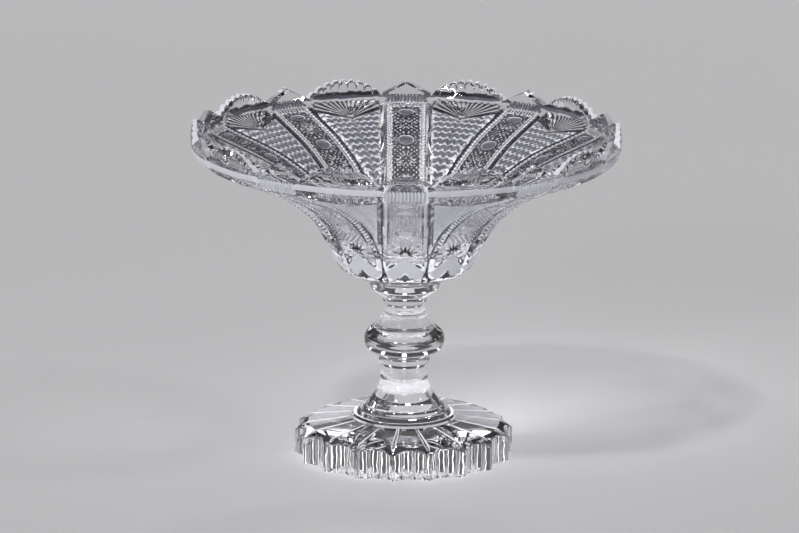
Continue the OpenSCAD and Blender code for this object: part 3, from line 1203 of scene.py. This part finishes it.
    def rim_s(self) -> tuple:
        """Turn of the rim's outer edge and its length along the outline."""
        turns, heights = self.rim_edge()
        return turns, self.outer.reaching(heights, self.outer.station(self.band_knot), self.outer.length())

    def on_band(self, flat: np.ndarray, top: float) -> np.ndarray:
        """True where the band under a scallop lies between the foot of its satin bar and a line over it."""
        s = flat[:, 1]
        return (s > self.bar[0] - 1e-6) & (s < top + 1e-6) & (flat[:, 0] > self.bar_from)

    def line_cuts(self) -> list:
        """The long cut beside a strip, the thin one inside it, and the beaded line between them."""
        # The long cut and the thin one have shade painted in their bottoms; the long one also a painted dark
        # line along its valley that shows from both sides.
        groove = MitreCut(
            self.groove_x, self.groove_s, 0, self.groove_length, self.groove_half_w, self.groove_depth,
            run_in=8, run_out=5, pitch=3.0, line=2.0,
        )
        thin = MitreCut(11.6, 76, 0, 100, half_w=0.8, depth=0.95, run_in=4, run_out=4, pitch=3.0)
        bead = MitreCut(
            12.5, 0, 90, 2.6, half_w=1.0, depth=1.1, run_in=0.4, run_out=0.8, shade=0.0, skin=Skin.SATIN
        )
        return [groove, thin, *(replace(bead, s=s) for s in np.arange(*self.bead_line))]

    def oval_cuts(self) -> list:
        """The satin ovals, each in a V cut and a ring of notches that stand square to it."""
        cuts = []
        for s, a, b in self.ovals:
            # Shade is painted in the ovals, their V cuts and their notches, seen from within the glass.
            cuts.append(OvalHollow(0, s, 0, a, b, depth=0.7, skin=Skin.SATIN, shade=1.0))
            cuts.append(OvalRing(0, s, a + self.ring_w, b + self.ring_w, half_w=self.ring_w, depth=1.8))
            wide, tall = a + self.notch_off, b + self.notch_off
            for w in 2 * math.pi * np.arange(self.notches) / self.notches:
                x, rise = wide * math.sin(w), tall * math.cos(w)
                way = math.degrees(math.atan2(x / wide**2, rise / tall**2))
                cuts.append(MitreCut(x, s + rise, way, 4.0, half_w=1.0, depth=1.3, run_in=1.0, run_out=1.6))
        return cuts

    def star_cuts(self) -> list:
        """The stars: bright rays from round a hub to the field's side or the star's own height."""
        cuts = []
        for s, up, count in self.stars:
            for i in range(count):
                w = math.radians((i + 0.5) * 360 / count)
                size = min(self.star_side / abs(math.sin(w)), up / abs(math.cos(w))) - self.hub
                x, rise, way = self.hub * math.sin(w), self.hub * math.cos(w), math.degrees(w)
                ray = MitreCut(
                    x, s + rise, way, size, half_w=0.95, depth=1.7, run_in=1.0, run_out=size * 0.5, shade=0.0
                )
                cuts.append(ray)
        return cuts

    def strip_cuts(self) -> list:
        """The cuts of a strip: lines, ovals, stars, small diamonds, stripes over it and the spray below."""
        low, high, side = self.field
        clear = tuple((0, s, a + self.clear_w, b + self.clear_w) for s, a, b in self.ovals)
        corners = ((-1.5, low), (side, low), (side, high), (-1.5, high))
        # Shade is painted in the small diamonds' valleys, seen from within the glass.
        field = Diaper(
            corners, wide=4.0, tall=4.0, depth=1.6, skin=Skin.POLISHED, home=Home.STRIP,
            start=self.ovals[1][0], clear=clear,
        )
        # The notches over the field have shade painted in their bottoms; the satin stripes over the band are
        # painted dark all over, seen from within the glass.
        notch = MitreCut(0, high + 0.4, 0, 6.0, half_w=1.2, depth=1.3, run_in=2.5, run_out=2.5)
        band, brow = self.outer.station(self.band_knot) - 1.0, self.outer.station(17) + 0.5
        stripe = MitreCut(
            0, band, 0, brow - band, half_w=1.1, depth=0.9, run_in=1.5, run_out=1.5, skin=Skin.SATIN
        )
        cuts = self.line_cuts() + self.oval_cuts() + self.star_cuts() + [field]
        cuts += [replace(notch, x=x) for x in np.arange(-10, 10.1, 2.5)]
        cuts += [replace(stripe, x=x) for x in np.arange(-13.2, 13.3, 2.4)]
        spray_s, hub, size = self.spray
        # The spray's rays have a painted dark line along their valleys, which shows from both sides.
        for turn in range(-60, 61, 20):
            x, rise = hub * math.sin(math.radians(turn)), hub * math.cos(math.radians(turn))
            ray = MitreCut(
                x, spray_s + rise, turn, size, half_w=1.2, depth=1.4, run_in=1, run_out=7.5, line=3.0
            )
            cuts.append(ray)
        cuts.append(OvalHollow(8.2, 64.6, 134.2, a=3.4, b=6.3, depth=1.0))
        # A wedge under the peak, painted dark in its middle from both sides.
        cuts.append(MitreCut(0, 56.6, 180, 10.6, half_w=7.4, depth=0.8, run_in=9.0, run_out=1.2, shade=3.4))
        return cuts

    def panel_side(self, s: float) -> float:
        """Distance from a panel's middle to the edge of the long cut beside it, less 0.2 mm."""
        beside = self.groove_x + self.groove_half_w + 0.2
        return float(self.outer.at(s)[0]) * self.half_turn() - beside

    def panel_cuts(self) -> list:
        """The cuts of a panel: the lattice, the gap cut over it with shade painted in its bottom, and the fan
        of rays.
        """
        top, middle = self.panel_top
        side = [(self.panel_side(s), float(s)) for s in np.arange(74.0, top, 4.0) if self.panel_side(s) > 0.3]
        border = [(-1.5, side[0][1] - 1.5), *side, (self.panel_side(top), top), (0.0, middle), (-1.5, middle)]
        # The lattice is painted with light zigzag strokes over shaded patches, the gap cut has painted shade
        # in its bottom, and the fan has painted shade between its rays.
        cuts = [
            Diaper(
                tuple(border), wide=5.3, tall=6.2, depth=1.35, skin=Skin.DIAPER, home=Home.PANEL, rows=True,
                start=133.6,
            ),
            MitreCut(25.2, 171.0, -116.4, 29.2, half_w=1.7, depth=2.0, run_in=2, run_out=0, home=Home.PANEL),
        ]
        for turn in range(0, 61, self.fan_step):
            w = math.radians(turn)
            end = min((self.fan_top - self.fan_s) / math.cos(w), self.fan_side / max(math.sin(w), 1e-6))
            cuts.append(FanRay(self.fan_s, turn, self.fan_step, start=3.0, end=end, steep=1.15))
        return cuts

    def bead_cuts(self) -> list:
        """Notches down the band from between the rim's beads, with shade painted in their bottoms."""
        turns, edge_s = self.rim_s()
        cuts = []
        for j in range((self.beads + 1) // 2):
            turn = self.half_turn() - math.radians((j + 0.5) * self.bead_turn)
            s = float(np.interp(turn, turns, edge_s))
            x = turn * float(self.outer.at(s)[0])
            cuts.append(MitreCut(x, s + 2.5, 180, 8.5, half_w=1.4, depth=1.2, run_in=0, run_out=8))
        return cuts

    def shape_outside(self) -> tuple:
        """Shapes half a repeat of the wall's outside.

        Returns:
            Turn, place as (radius, height, turn) and painted shade of each vertex, the triangles, the skin of
            each, and the upper edge's vertices in order.
        """
        turns, edge_s = self.rim_s()
        patches = [(self.frosted, Skin.GROUND, Home.STRIP), (self.peak, Skin.SATIN, Home.STRIP)]
        cuts = self.strip_cuts() + self.panel_cuts() + self.bead_cuts()
        wall = HalfRepeat(self.outer, self.half_turn(), turns, edge_s, cuts, patches)
        rings = []
        for s in (self.bond_r, self.outer.station(1), *self.bar, self.outer.station(18)):
            reach = float(wall.edge_x(np.array(s)))
            rings.append(np.stack([np.linspace(0, reach, 12), np.full(12, float(s))], 1))
        turn, flat, tris, rim = wall.build(rings)
        sink, dark = wall.sink(flat[:, 0], flat[:, 1])
        middle = flat[tris].mean(1)
        skins = wall.skins(middle[:, 0], middle[:, 1])
        skins[middle[:, 1] < self.bond_r] = Skin.BONDED.value
        skins[self.on_band(middle, self.bar[1])] = Skin.SATIN.value
        # Paints shade on the band from the satin bar's foot up to its top line, beyond the bar's ends.
        dark = np.maximum(dark, self.on_band(flat, self.bar[2]))
        return turn, bent(self.outer, turn, flat[:, 1], sink), dark, tris, skins, rim

    def shape_inside(self, turns: np.ndarray, edge_z: np.ndarray) -> tuple:
        """Shapes half a repeat of the plain inside, its edge a little under the outer edge.

        Args:
            turns: turns of the rim's points.
            edge_z: heights of its outer edge there.

        Returns:
            Place of each vertex, the triangles, and the upper edge's vertices in order.
        """
        fall = self.lip_fall * (edge_z - self.valley_z) / (self.crown_z - self.valley_z)
        inner_s = self.inner.reaching(edge_z - fall, self.inner.station(11), self.inner.length())
        hollow = HalfRepeat(self.inner, self.half_turn(), turns, inner_s, [], [], 5.0)
        turn, flat, tris, rim = hollow.build([])
        if len(rim) != len(turns):
            raise ValueError(f"the lip has {len(turns)} points outside and {len(rim)} inside")
        return bent(self.inner, turn, flat[:, 1], np.zeros(len(turn))), tris, rim

    def build(self, finishes: list) -> bpy.types.Object:
        """Shapes the bowl and puts it in the cut bowl's place.

        Args:
            finishes: materials in the order of Skin.

        Returns:
            The bowl's object.
        """
        turn, outside, dark, tris, skins, rim = self.shape_outside()
        edge = outside[rim]
        inside, in_tris, in_rim = self.shape_inside(turn[rim], edge[:, 1])
        lip = (edge + inside[in_rim]) / 2
        lip[:, 1] = np.minimum(lip[:, 1] + self.lip_rise, self.crown_z)

        half = np.vstack([outside, inside, lip])
        inner_row = len(outside) + in_rim
        lip_row = len(outside) + len(inside) + np.arange(len(rim))
        faces = [tris, in_tris[:, ::-1] + len(outside)]
        for near, far in ((rim, lip_row), (lip_row, inner_row)):
            faces.append(np.stack([near[:-1], near[1:], far[1:]], 1))
            faces.append(np.stack([near[:-1], far[1:], far[:-1]], 1))
        faces = np.vstack(faces)
        skins = np.concatenate([skins, np.full(len(faces) - len(tris), Skin.POLISHED.value)])
        beaded = turn[rim][:-1] > math.radians(self.point_turn) - 1e-6
        crest = np.where(beaded, Skin.SATIN.value, Skin.GROUND.value)
        skins[-4 * len(beaded) : -2 * len(beaded)] = np.tile(crest, 2)
        points, all_faces = all_round(half, faces, self.strips, -math.pi / 2)
        # Only the outside's vertices carry painted shade; the inside and the lip have none.
        deep = np.zeros(len(half))
        deep[: len(outside)] = dark
        repeats = 2 * self.strips
        skins, deep = np.tile(skins, repeats), np.tile(deep, repeats)
        piece = new_piece("cut_bowl", points, all_faces, skins, finishes, sharp=17, deep=deep)
        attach(piece, "root")
        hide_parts("bowl")
        return piece


def turned(outline: Outline, columns: int, pitch: float) -> tuple:
    """A closed turned surface from axis to axis: rows along the outline, columns round the axis.

    Args:
        outline: outline from the axis at the bottom to the axis at the top.
        columns: number of columns round the axis.
        pitch: distance between the rows.

    Returns:
        Vertices in metres, quads, and each quad's mean radius and height in millimetres.
    """
    knots = [outline.station(i) for i in range(len(outline.points))]
    spans = []
    for a, b in zip(knots, knots[1:]):
        spans.append(np.linspace(a, b, max(1, int(math.ceil((b - a) / pitch))), endpoint=False))
    s = np.concatenate([*spans, [knots[-1]]])
    r, z, _, _ = outline.at(s)
    r[0] = r[-1] = 0.0
    turn = 2 * math.pi * np.arange(columns) / columns
    points = np.stack(
        [r[:, None] * np.cos(turn), r[:, None] * np.sin(turn), np.repeat(z[:, None], columns, 1)], -1
    ).reshape(-1, 3)
    i, j = np.meshgrid(np.arange(len(s) - 1), np.arange(columns), indexing="ij")
    low, high, k = i * columns, (i + 1) * columns, (j + 1) % columns
    quads = np.stack([low + j, low + k, high + k, high + j], -1).reshape(-1, 4)
    mean_r = np.repeat((r[:-1] + r[1:]) / 2, columns)
    mean_z = np.repeat((z[:-1] + z[1:]) / 2, columns)
    return points * MM, quads, mean_r, mean_z


@dataclass
class Stem:
    """The solid stem: lower neck, knop, ring, throat and the cup that carries the bowl.

    Attributes:
        foot_z: height of its underside.
        top_z: height of the cup's top.
        foot_bond_r: radius of the bond under it.
        bowl_bond_r: radius of the bond over it.
        columns: number of points round the axis.
        row_pitch: distance between two rows of points.
        outline: outline from the underside to the top.
    """

    foot_z: float = 60.7
    top_z: float = 122.7
    foot_bond_r: float = 15.8
    bowl_bond_r: float = 24.0
    columns: int = 144
    row_pitch: float = 0.9
    outline: Outline = Outline(
        (
            (0, 60.7), (15.8, 60.7), (16.4, 60.7), (16.4, 63.6), (17.6, 65.8), (17.6, 69.2), (18.8, 71.4),
            (23.4, 73.5), (26.2, 76), (27.4, 79), (27.6, 82), (27.1, 85.2), (25.3, 87.9), (22.2, 90.4),
            (18.7, 94.4), (16.2, 97.4), (15.3, 98.4), (15.4, 99.8), (14.5, 100.9), (13.7, 103.8),
            (13.9, 106.8), (15.1, 108.3), (15.2, 111), (17.7, 113.4), (21.4, 116.2), (23.8, 118.6),
            (24.5, 120.6), (24.6, 122.1), (24.6, 122.7), (24.0, 122.7), (0, 122.7),
        ),
        (1, 2, 4, 5, 13, 16, 17, 21, 22, 28, 29),
    )

    def build(self, finishes: list) -> bpy.types.Object:
        """Turns the stem and puts it in its solid's place.

        Args:
            finishes: materials in the order of Skin.

        Returns:
            The stem's object.
        """
        points, quads, r, z = turned(self.outline, self.columns, self.row_pitch)
        skins = np.full(len(quads), Skin.POLISHED.value)
        skins[(z <= self.foot_z) & (r < self.foot_bond_r)] = Skin.BONDED.value
        skins[(z >= self.top_z) & (r < self.bowl_bond_r)] = Skin.BONDED.value
        plain = np.zeros(len(points))
        piece = new_piece("stem_knop", points, quads, skins, finishes, sharp=25, deep=plain)
        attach(piece, "root")
        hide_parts("stem")
        return piece


@dataclass
class FlutedFoot:
    """The thick disc with its fluted edge, V-cut rays and stepped dome.

    A repeat is one ridge with half a flute on each side.

    Attributes:
        flutes: number of flutes.
        ridge_turn: turn of the first ridge from the front, in degrees.
        ridge_r: radius at the ridges.
        land: half the width of a ridge's land.
        wheel_r: radius of the flutes.
        edge_z: height of a ridge's upper edge.
        chamfer: size of the bevel under the edge.
        bevel: size of the bevel over it.
        shoulder_r: radius at which the disc's slope changes.
        shoulder_z: height there.
        dome_r: radius of the dome's foot.
        disc_z: height there.
        bond_r: radius of the bonded top.
        top_z: height of the post's top.
        columns: number of points in a row of half a repeat.
        ray_end: radius at which a ray's satin ends.
        ray_slope: depth of a ray for each millimetre of half its width.
        ray_run: length over which a ray deepens from the dome outwards.
        ray_gap: distance of its start from the dome.
        dome_step: share of half a repeat at which the dome's columns start.
        dome: outline of the dome and the post.
    """

    flutes: int = 18
    ridge_turn: float = -6.0
    ridge_r: float = 75.2
    land: float = 0.4
    wheel_r: float = 21.0
    edge_z: float = 18.0
    chamfer: float = 1.0
    bevel: float = 0.7
    shoulder_r: float = 66.0
    shoulder_z: float = 22.6
    dome_r: float = 35.8
    disc_z: float = 26.6
    bond_r: float = 15.8
    top_z: float = 60.4
    columns: int = 16
    ray_end: float = 70.0
    ray_slope: float = 0.9
    ray_run: float = 6.0
    ray_gap: float = 0.4
    dome_step: float = 0.1
    dome: tuple = (
        (35.8, 26.6), (35.8, 28.3), (34.5, 29.6), (32.6, 29.5), (31, 32.2), (28.8, 32.6), (27.4, 35.4),
        (25.4, 36.1), (23.6, 39.4), (21.6, 41.8), (19.5, 45.2), (17.7, 49.4), (16.7, 53.6), (16.4, 57.2),
        (16.4, 60.4),
    )

    def edge_radius(self, turn: np.ndarray) -> np.ndarray:
        """Radius of the fluted edge at a turn from the ridge: the near side of the flute's wheel.

        With b the angle to the flute's middle and c the wheel's distance from the axis, the radius is
        c cos b - sqrt(wheel^2 - (c sin b)^2), and the ridge's land where that is larger.
        """
        half = math.pi / self.flutes
        across = self.ridge_r * math.sin(half) - self.land
        c = self.ridge_r * math.cos(half) + math.sqrt(self.wheel_r**2 - across**2)
        b = half - turn
        drop = np.sqrt(np.maximum(self.wheel_r**2 - (c * np.sin(b)) ** 2, 0))
        return np.minimum(self.ridge_r, c * np.cos(b) - drop)

    def ray_half_w(self, r: np.ndarray) -> np.ndarray:
        """Half the width of a ray at radius r: it widens outwards and closes on the shoulder."""
        return np.interp(r, [self.dome_r + 1, self.shoulder_r, 72, 80], [1.0, 1.7, 0.4, 0.4])

    def row(self, r: np.ndarray, z: np.ndarray, first: float) -> np.ndarray:
        """One row of the half repeat: (radius, height, turn), the third column at a given turn."""
        half = math.pi / self.flutes
        rest = first + (half - first) * np.linspace(0, 1, self.columns - 2)
        turn = np.concatenate([[0.0, 0.5 * first], rest])
        return np.stack([np.broadcast_to(r, turn.shape), np.broadcast_to(z, turn.shape), turn], -1)

    def rows(self) -> np.ndarray:
        """All rows from the middle of the underside to the middle of the post's top.

        The edge's rows follow edge_radius. On the disc the first column sinks by the ray's depth.
        """
        half = math.pi / self.flutes
        land = self.land / self.ridge_r
        turn = self.row(np.zeros(self.columns), 0.0, land)[:, 2]
        edge = self.edge_radius(turn)
        over = (self.ridge_r - edge) / (self.ridge_r - self.shoulder_r)
        top = self.edge_z + over * (self.shoulder_z - self.edge_z)
        rows = [self.row(f * (edge - self.chamfer), 0.0, land) for f in (0.0, 0.35, 0.7, 1.0)]
        brow = top - self.bevel
        rows += [self.row(edge, self.chamfer + f * (brow - self.chamfer), land) for f in np.linspace(0, 1, 7)]
        rows.append(self.row(edge - self.bevel, top, land))
        for f in (0.25, 0.5, 0.75):
            r = edge - self.bevel + f * (self.shoulder_r - edge + self.bevel)
            ray = self.ray_half_w(r) / r
            piece = self.row(r, top + f * (self.shoulder_z - top), float(ray[0]))
            piece[0, 1] -= 0.25 * f
            piece[1, 1] -= 0.125 * f
            rows.append(piece)
        disc = np.linspace(self.shoulder_r, self.dome_r + 1, 18)
        for r in np.append(disc, self.dome_r + self.ray_gap):
            wide = float(self.ray_half_w(r))
            fall = (r - self.dome_r) / (self.shoulder_r - self.dome_r)
            z = self.disc_z + (self.shoulder_z - self.disc_z) * fall
            piece = self.row(r, z, wide / r)
            deep = wide * self.ray_slope * min(1.0, (r - self.dome_r - self.ray_gap) / self.ray_run)
            piece[0, 1] -= deep
            piece[1, 1] -= deep / 2
            rows.append(piece)
        dome = Outline(self.dome, (0, 1, 2, 3, 5, 7, 8))
        knots = [dome.station(i) for i in range(len(self.dome))]
        s = [np.linspace(a, b, 4)[:-1] for a, b in zip(knots, knots[1:])]
        r, z, _, _ = dome.at(np.append(np.concatenate(s), dome.length()))
        rows += [self.row(a, b, half * self.dome_step) for a, b in zip(r, z)]
        rows += [self.row(a, self.top_z, half * self.dome_step) for a in (self.bond_r, 0.0)]
        return np.stack(rows)

    def build(self, finishes: list) -> bpy.types.Object:
        """Shapes the foot and puts it in its solid's place.

        Args:
            finishes: materials in the order of Skin.

        Returns:
            The foot's object.
        """
        grid = self.rows()
        n, m = grid.shape[:2]
        i, j = np.meshgrid(np.arange(n - 1), np.arange(m - 1), indexing="ij")
        a = (i * m + j).ravel()
        faces = np.vstack([np.stack([a, a + 1, a + m + 1], 1), np.stack([a, a + m + 1, a + m], 1)])
        half = grid.reshape(-1, 3)
        middle = half[faces].mean(1)
        bonded = (middle[:, 1] > self.top_z - 1e-6) & (middle[:, 0] < self.bond_r)
        skins = np.where(bonded, Skin.BONDED.value, Skin.POLISHED.value)
        border = (np.tile(j.ravel(), 2) == 1) & (middle[:, 1] > self.edge_z)
        border &= (middle[:, 0] > self.dome_r + 1) & (middle[:, 0] < self.ray_end)
        skins[border] = Skin.SATIN.value
        first_row, brow_row = 3, 11
        wall = (i.ravel() >= first_row) & (i.ravel() < brow_row)
        skins[np.tile(wall, 2)] = Skin.FLUTED.value
        points, all_faces = all_round(half, faces, self.flutes, math.radians(self.ridge_turn - 90))
        skins, plain = np.tile(skins, 2 * self.flutes), np.zeros(len(points))
        piece = new_piece("fluted_foot", points, all_faces, skins, finishes, sharp=20, deep=plain)
        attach(piece, "root")
        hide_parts("foot")
        return piece


@dataclass
class Bonds:
    """The two bond layers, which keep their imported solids."""

    nodes: tuple = ("bowl_bond", "foot_bond")

    def dress(self, film: bpy.types.Material) -> None:
        """Gives both solids the film's material."""
        for name in self.nodes:
            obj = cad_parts[name]
            obj.data.materials.clear()
            obj.data.materials.append(film)
            LOG.info("%s: packed solid, dressed", name)


@dataclass
class Studio:
    """The pale floor, the soft lamps and the photograph's camera.

    Attributes:
        floor_size: size of the floor in metres.
        floor_drop: how far it lies under the foot.
        focal_px: the lens's focal length in pixels of the photograph.
        frame_px: the photograph's width in pixels.
        elevation: degrees that the camera looks down.
        distance: metres from the camera to the point that it aims at.
        aim_x: that point's place across.
        aim_z: its height.
        roll: degrees that the camera leans to the side.
        sensor: width of the camera's sensor in millimetres.
        lamp_aim_z: height that the soft lamps face.
        suns: name, turn, height, angle and strength of each far lamp.
        lamps: name, place, size and watts of each soft lamp.
        strip_turns: turns of the tall lamps behind the bowl, in degrees from the front.
        strip_r: their distance from the axis.
        fill: colour of the world's light.
        fill_strength: its strength.
    """

    floor_size: float = 12.0
    floor_drop: float = 0.0003
    focal_px: float = 5655.7
    frame_px: float = 799.0
    elevation: float = 14.061
    distance: float = 3.8814
    aim_x: float = -0.003791
    aim_z: float = 0.132336
    roll: float = 0.4934
    sensor: float = 36.0
    lamp_aim_z: float = 0.14
    suns: tuple = (
        ("key", -35, 52, 5, 2.0),
        ("back", 172, 38, 5, 0.5),
        ("side", 75, 40, 4, 0.5),
        ("front", -25, 20, 8, 0.8),
    )
    lamps: tuple = (
        ("over", (0.0, 0.1, 1.7), (1.0, 1.0), 2.0),
        ("left", (-1.3, 0.25, 0.3), (0.03, 0.05), 0.6),
        ("right", (1.3, 0.25, 0.3), (0.03, 0.05), 0.6),
        ("front_left", (-0.75, -1.2, 0.42), (0.04, 0.05), 0.6),
    )
    strip_turns: tuple = (100, 128, 155, 180, 205, 232, 260)
    strip_r: float = 2.6
    fill: tuple = (0.9, 0.92, 1.0)
    fill_strength: float = 0.03

    def camera(self) -> None:
        """Puts the camera at the photograph's angle, with its roll."""
        data = bpy.data.cameras.new("photo_camera")
        data.sensor_width = self.sensor
        data.lens = self.focal_px / self.frame_px * data.sensor_width
        data.clip_end = 50.0
        camera = bpy.data.objects.new("photo_camera", data)
        bpy.context.scene.collection.objects.link(camera)
        e = math.radians(self.elevation)
        back, rise = self.distance * math.cos(e), self.distance * math.sin(e)
        place = Matrix.Translation((self.aim_x, -back, self.aim_z + rise))
        lean = Matrix.Rotation(math.radians(90 - self.elevation), 4, "X")
        camera.matrix_world = place @ lean @ Matrix.Rotation(math.radians(self.roll), 4, "Z")
        bpy.context.scene.camera = camera

    def floor(self) -> None:
        """Lays the floor just under the foot."""
        h = self.floor_size / 2
        mesh = bpy.data.meshes.new("floor")
        corners = [(x, y, -self.floor_drop) for x, y in ((-h, -h), (h, -h), (h, h), (-h, h))]
        mesh.from_pydata(corners, [], [(0, 1, 2, 3)])
        mesh.materials.append(PaleFloor().material())
        floor = bpy.data.objects.new("floor", mesh)
        bpy.context.scene.collection.objects.link(floor)

    def lamp(self, name: str, place: tuple, size: tuple, watts: float) -> None:
        """Adds one soft rectangular lamp that faces the bowl.

        Args:
            name: the lamp's name.
            place: its place in metres.
            size: its width and height in metres.
            watts: its power.
        """
        data = bpy.data.lights.new(name, "AREA")
        data.shape = "RECTANGLE"
        data.size, data.size_y = size
        data.energy = watts
        lamp = bpy.data.objects.new(name, data)
        bpy.context.scene.collection.objects.link(lamp)
        way = Vector(place) - Vector((0, 0, self.lamp_aim_z))
        lamp.visible_camera = False
        lamp.rotation_mode = "QUATERNION"
        lamp.rotation_quaternion = way.to_track_quat("Z", "Y")
        lamp.location = place

    def sun(self, name: str, turn: float, height: float, angle: float, strength: float) -> None:
        """Adds one far soft lamp.

        Args:
            name: the lamp's name.
            turn: degrees from the front, to the viewer's right.
            height: degrees over the floor.
            angle: degrees that it fills.
            strength: watts on a square metre that faces it.
        """
        data = bpy.data.lights.new(name, "SUN")
        data.angle = math.radians(angle)
        data.energy = strength
        lamp = bpy.data.objects.new(name, data)
        bpy.context.scene.collection.objects.link(lamp)
        lamp.rotation_euler = (math.radians(90 - height), 0, math.radians(turn))

    def light(self) -> None:
        """Hangs the lamps and sets the world's dim fill."""
        for sun in self.suns:
            self.sun(*sun)
        for lamp in self.lamps:
            self.lamp(*lamp)
        for turn in self.strip_turns:
            w = math.radians(turn)
            place = (self.strip_r * math.sin(w), -self.strip_r * math.cos(w), 0.75)
            self.lamp(f"strip_{turn}", place, (0.22, 0.9), 1.4)

        world = bpy.data.worlds.new("studio")
        world.use_nodes = True
        sky = world.node_tree.nodes["Background"]
        sky.inputs["Color"].default_value = (*self.fill, 1)
        sky.inputs["Strength"].default_value = self.fill_strength
        bpy.context.scene.world = world

    def build(self) -> None:
        """Sets the whole studio."""
        self.camera()
        self.floor()
        self.light()
        bpy.context.scene.view_settings.view_transform = "Standard"


def main() -> None:
    """Builds the studio and the bowl's pieces in order."""
    logging.basicConfig(level=logging.INFO, format="%(name)s: %(message)s")
    Studio().build()
    polish_scales = {"Wave Scale": 60.0, "Mark Scale": 900.0}
    polish = surface_group("hand_polish", polish_scales, (1.0, 3.0), "Marks", thin=(0.58, 0.75))
    grain_scales = {"Grain Scale": 2500.0, "Patch Scale": 120.0}
    grain = surface_group("wheel_grain", grain_scales, (2.0, 2.0), "Patches")
    # The deep colours below are the shade painted in the cuts' bottoms and on the band under the rim.
    clear = GlassFinish(
        "clear_crystal",
        tint=(0.985, 0.985, 1.0), shade=(0.95, 0.95, 0.98), deep=(0.004, 0.004, 0.006), rough=0.0,
        rough_marks=0.04, clear=1.0, bump=0.04, bump_size=0.0006, lamp_pass=0.85, grain=False,
    )
    fluted = replace(
        clear, name="fluted_crystal", deep=(0.02, 0.02, 0.026), rough_marks=0.05, clear=0.96, bump=0.35,
        bump_size=0.001, wave=120.0,
    )
    satin = GlassFinish(
        "satin_cut", tint=(0.88, 0.88, 0.95), shade=(0.8, 0.8, 0.88), deep=(0.05, 0.05, 0.07), rough=0.42,
        rough_marks=0.55, clear=0.3, bump=0.15, bump_size=0.0001, lamp_pass=0.5, grain=True,
        dark_from=0.02, dark_to=0.25,
    )
    diaper = replace(
        satin, name="lattice_cut", tint=(0.93, 0.93, 1.0), shade=(0.86, 0.86, 0.95),
        deep=(0.06, 0.06, 0.085), rough=0.3, rough_marks=0.42, clear=0.5, dark_from=0.3, dark_to=0.6,
    )
    ground = replace(
        satin, name="ground_cut", tint=(0.94, 0.94, 1.0), shade=(0.85, 0.85, 0.93),
        deep=(0.008, 0.008, 0.012), rough=0.02, rough_marks=0.08, clear=0.7, bump=0.1,
        lamp_pass=0.6, dark_from=0.3, dark_to=0.5,
    )
    film = BondFilm().material()
    finishes = [clear.material(polish), satin.material(grain), diaper.material(grain), film]
    finishes += [ground.material(grain), fluted.material(polish)]
    CutBowl().build(finishes)
    Stem().build(finishes)
    FlutedFoot().build(finishes)
    Bonds().dress(film)


if __name__ == "__main__":
    main()
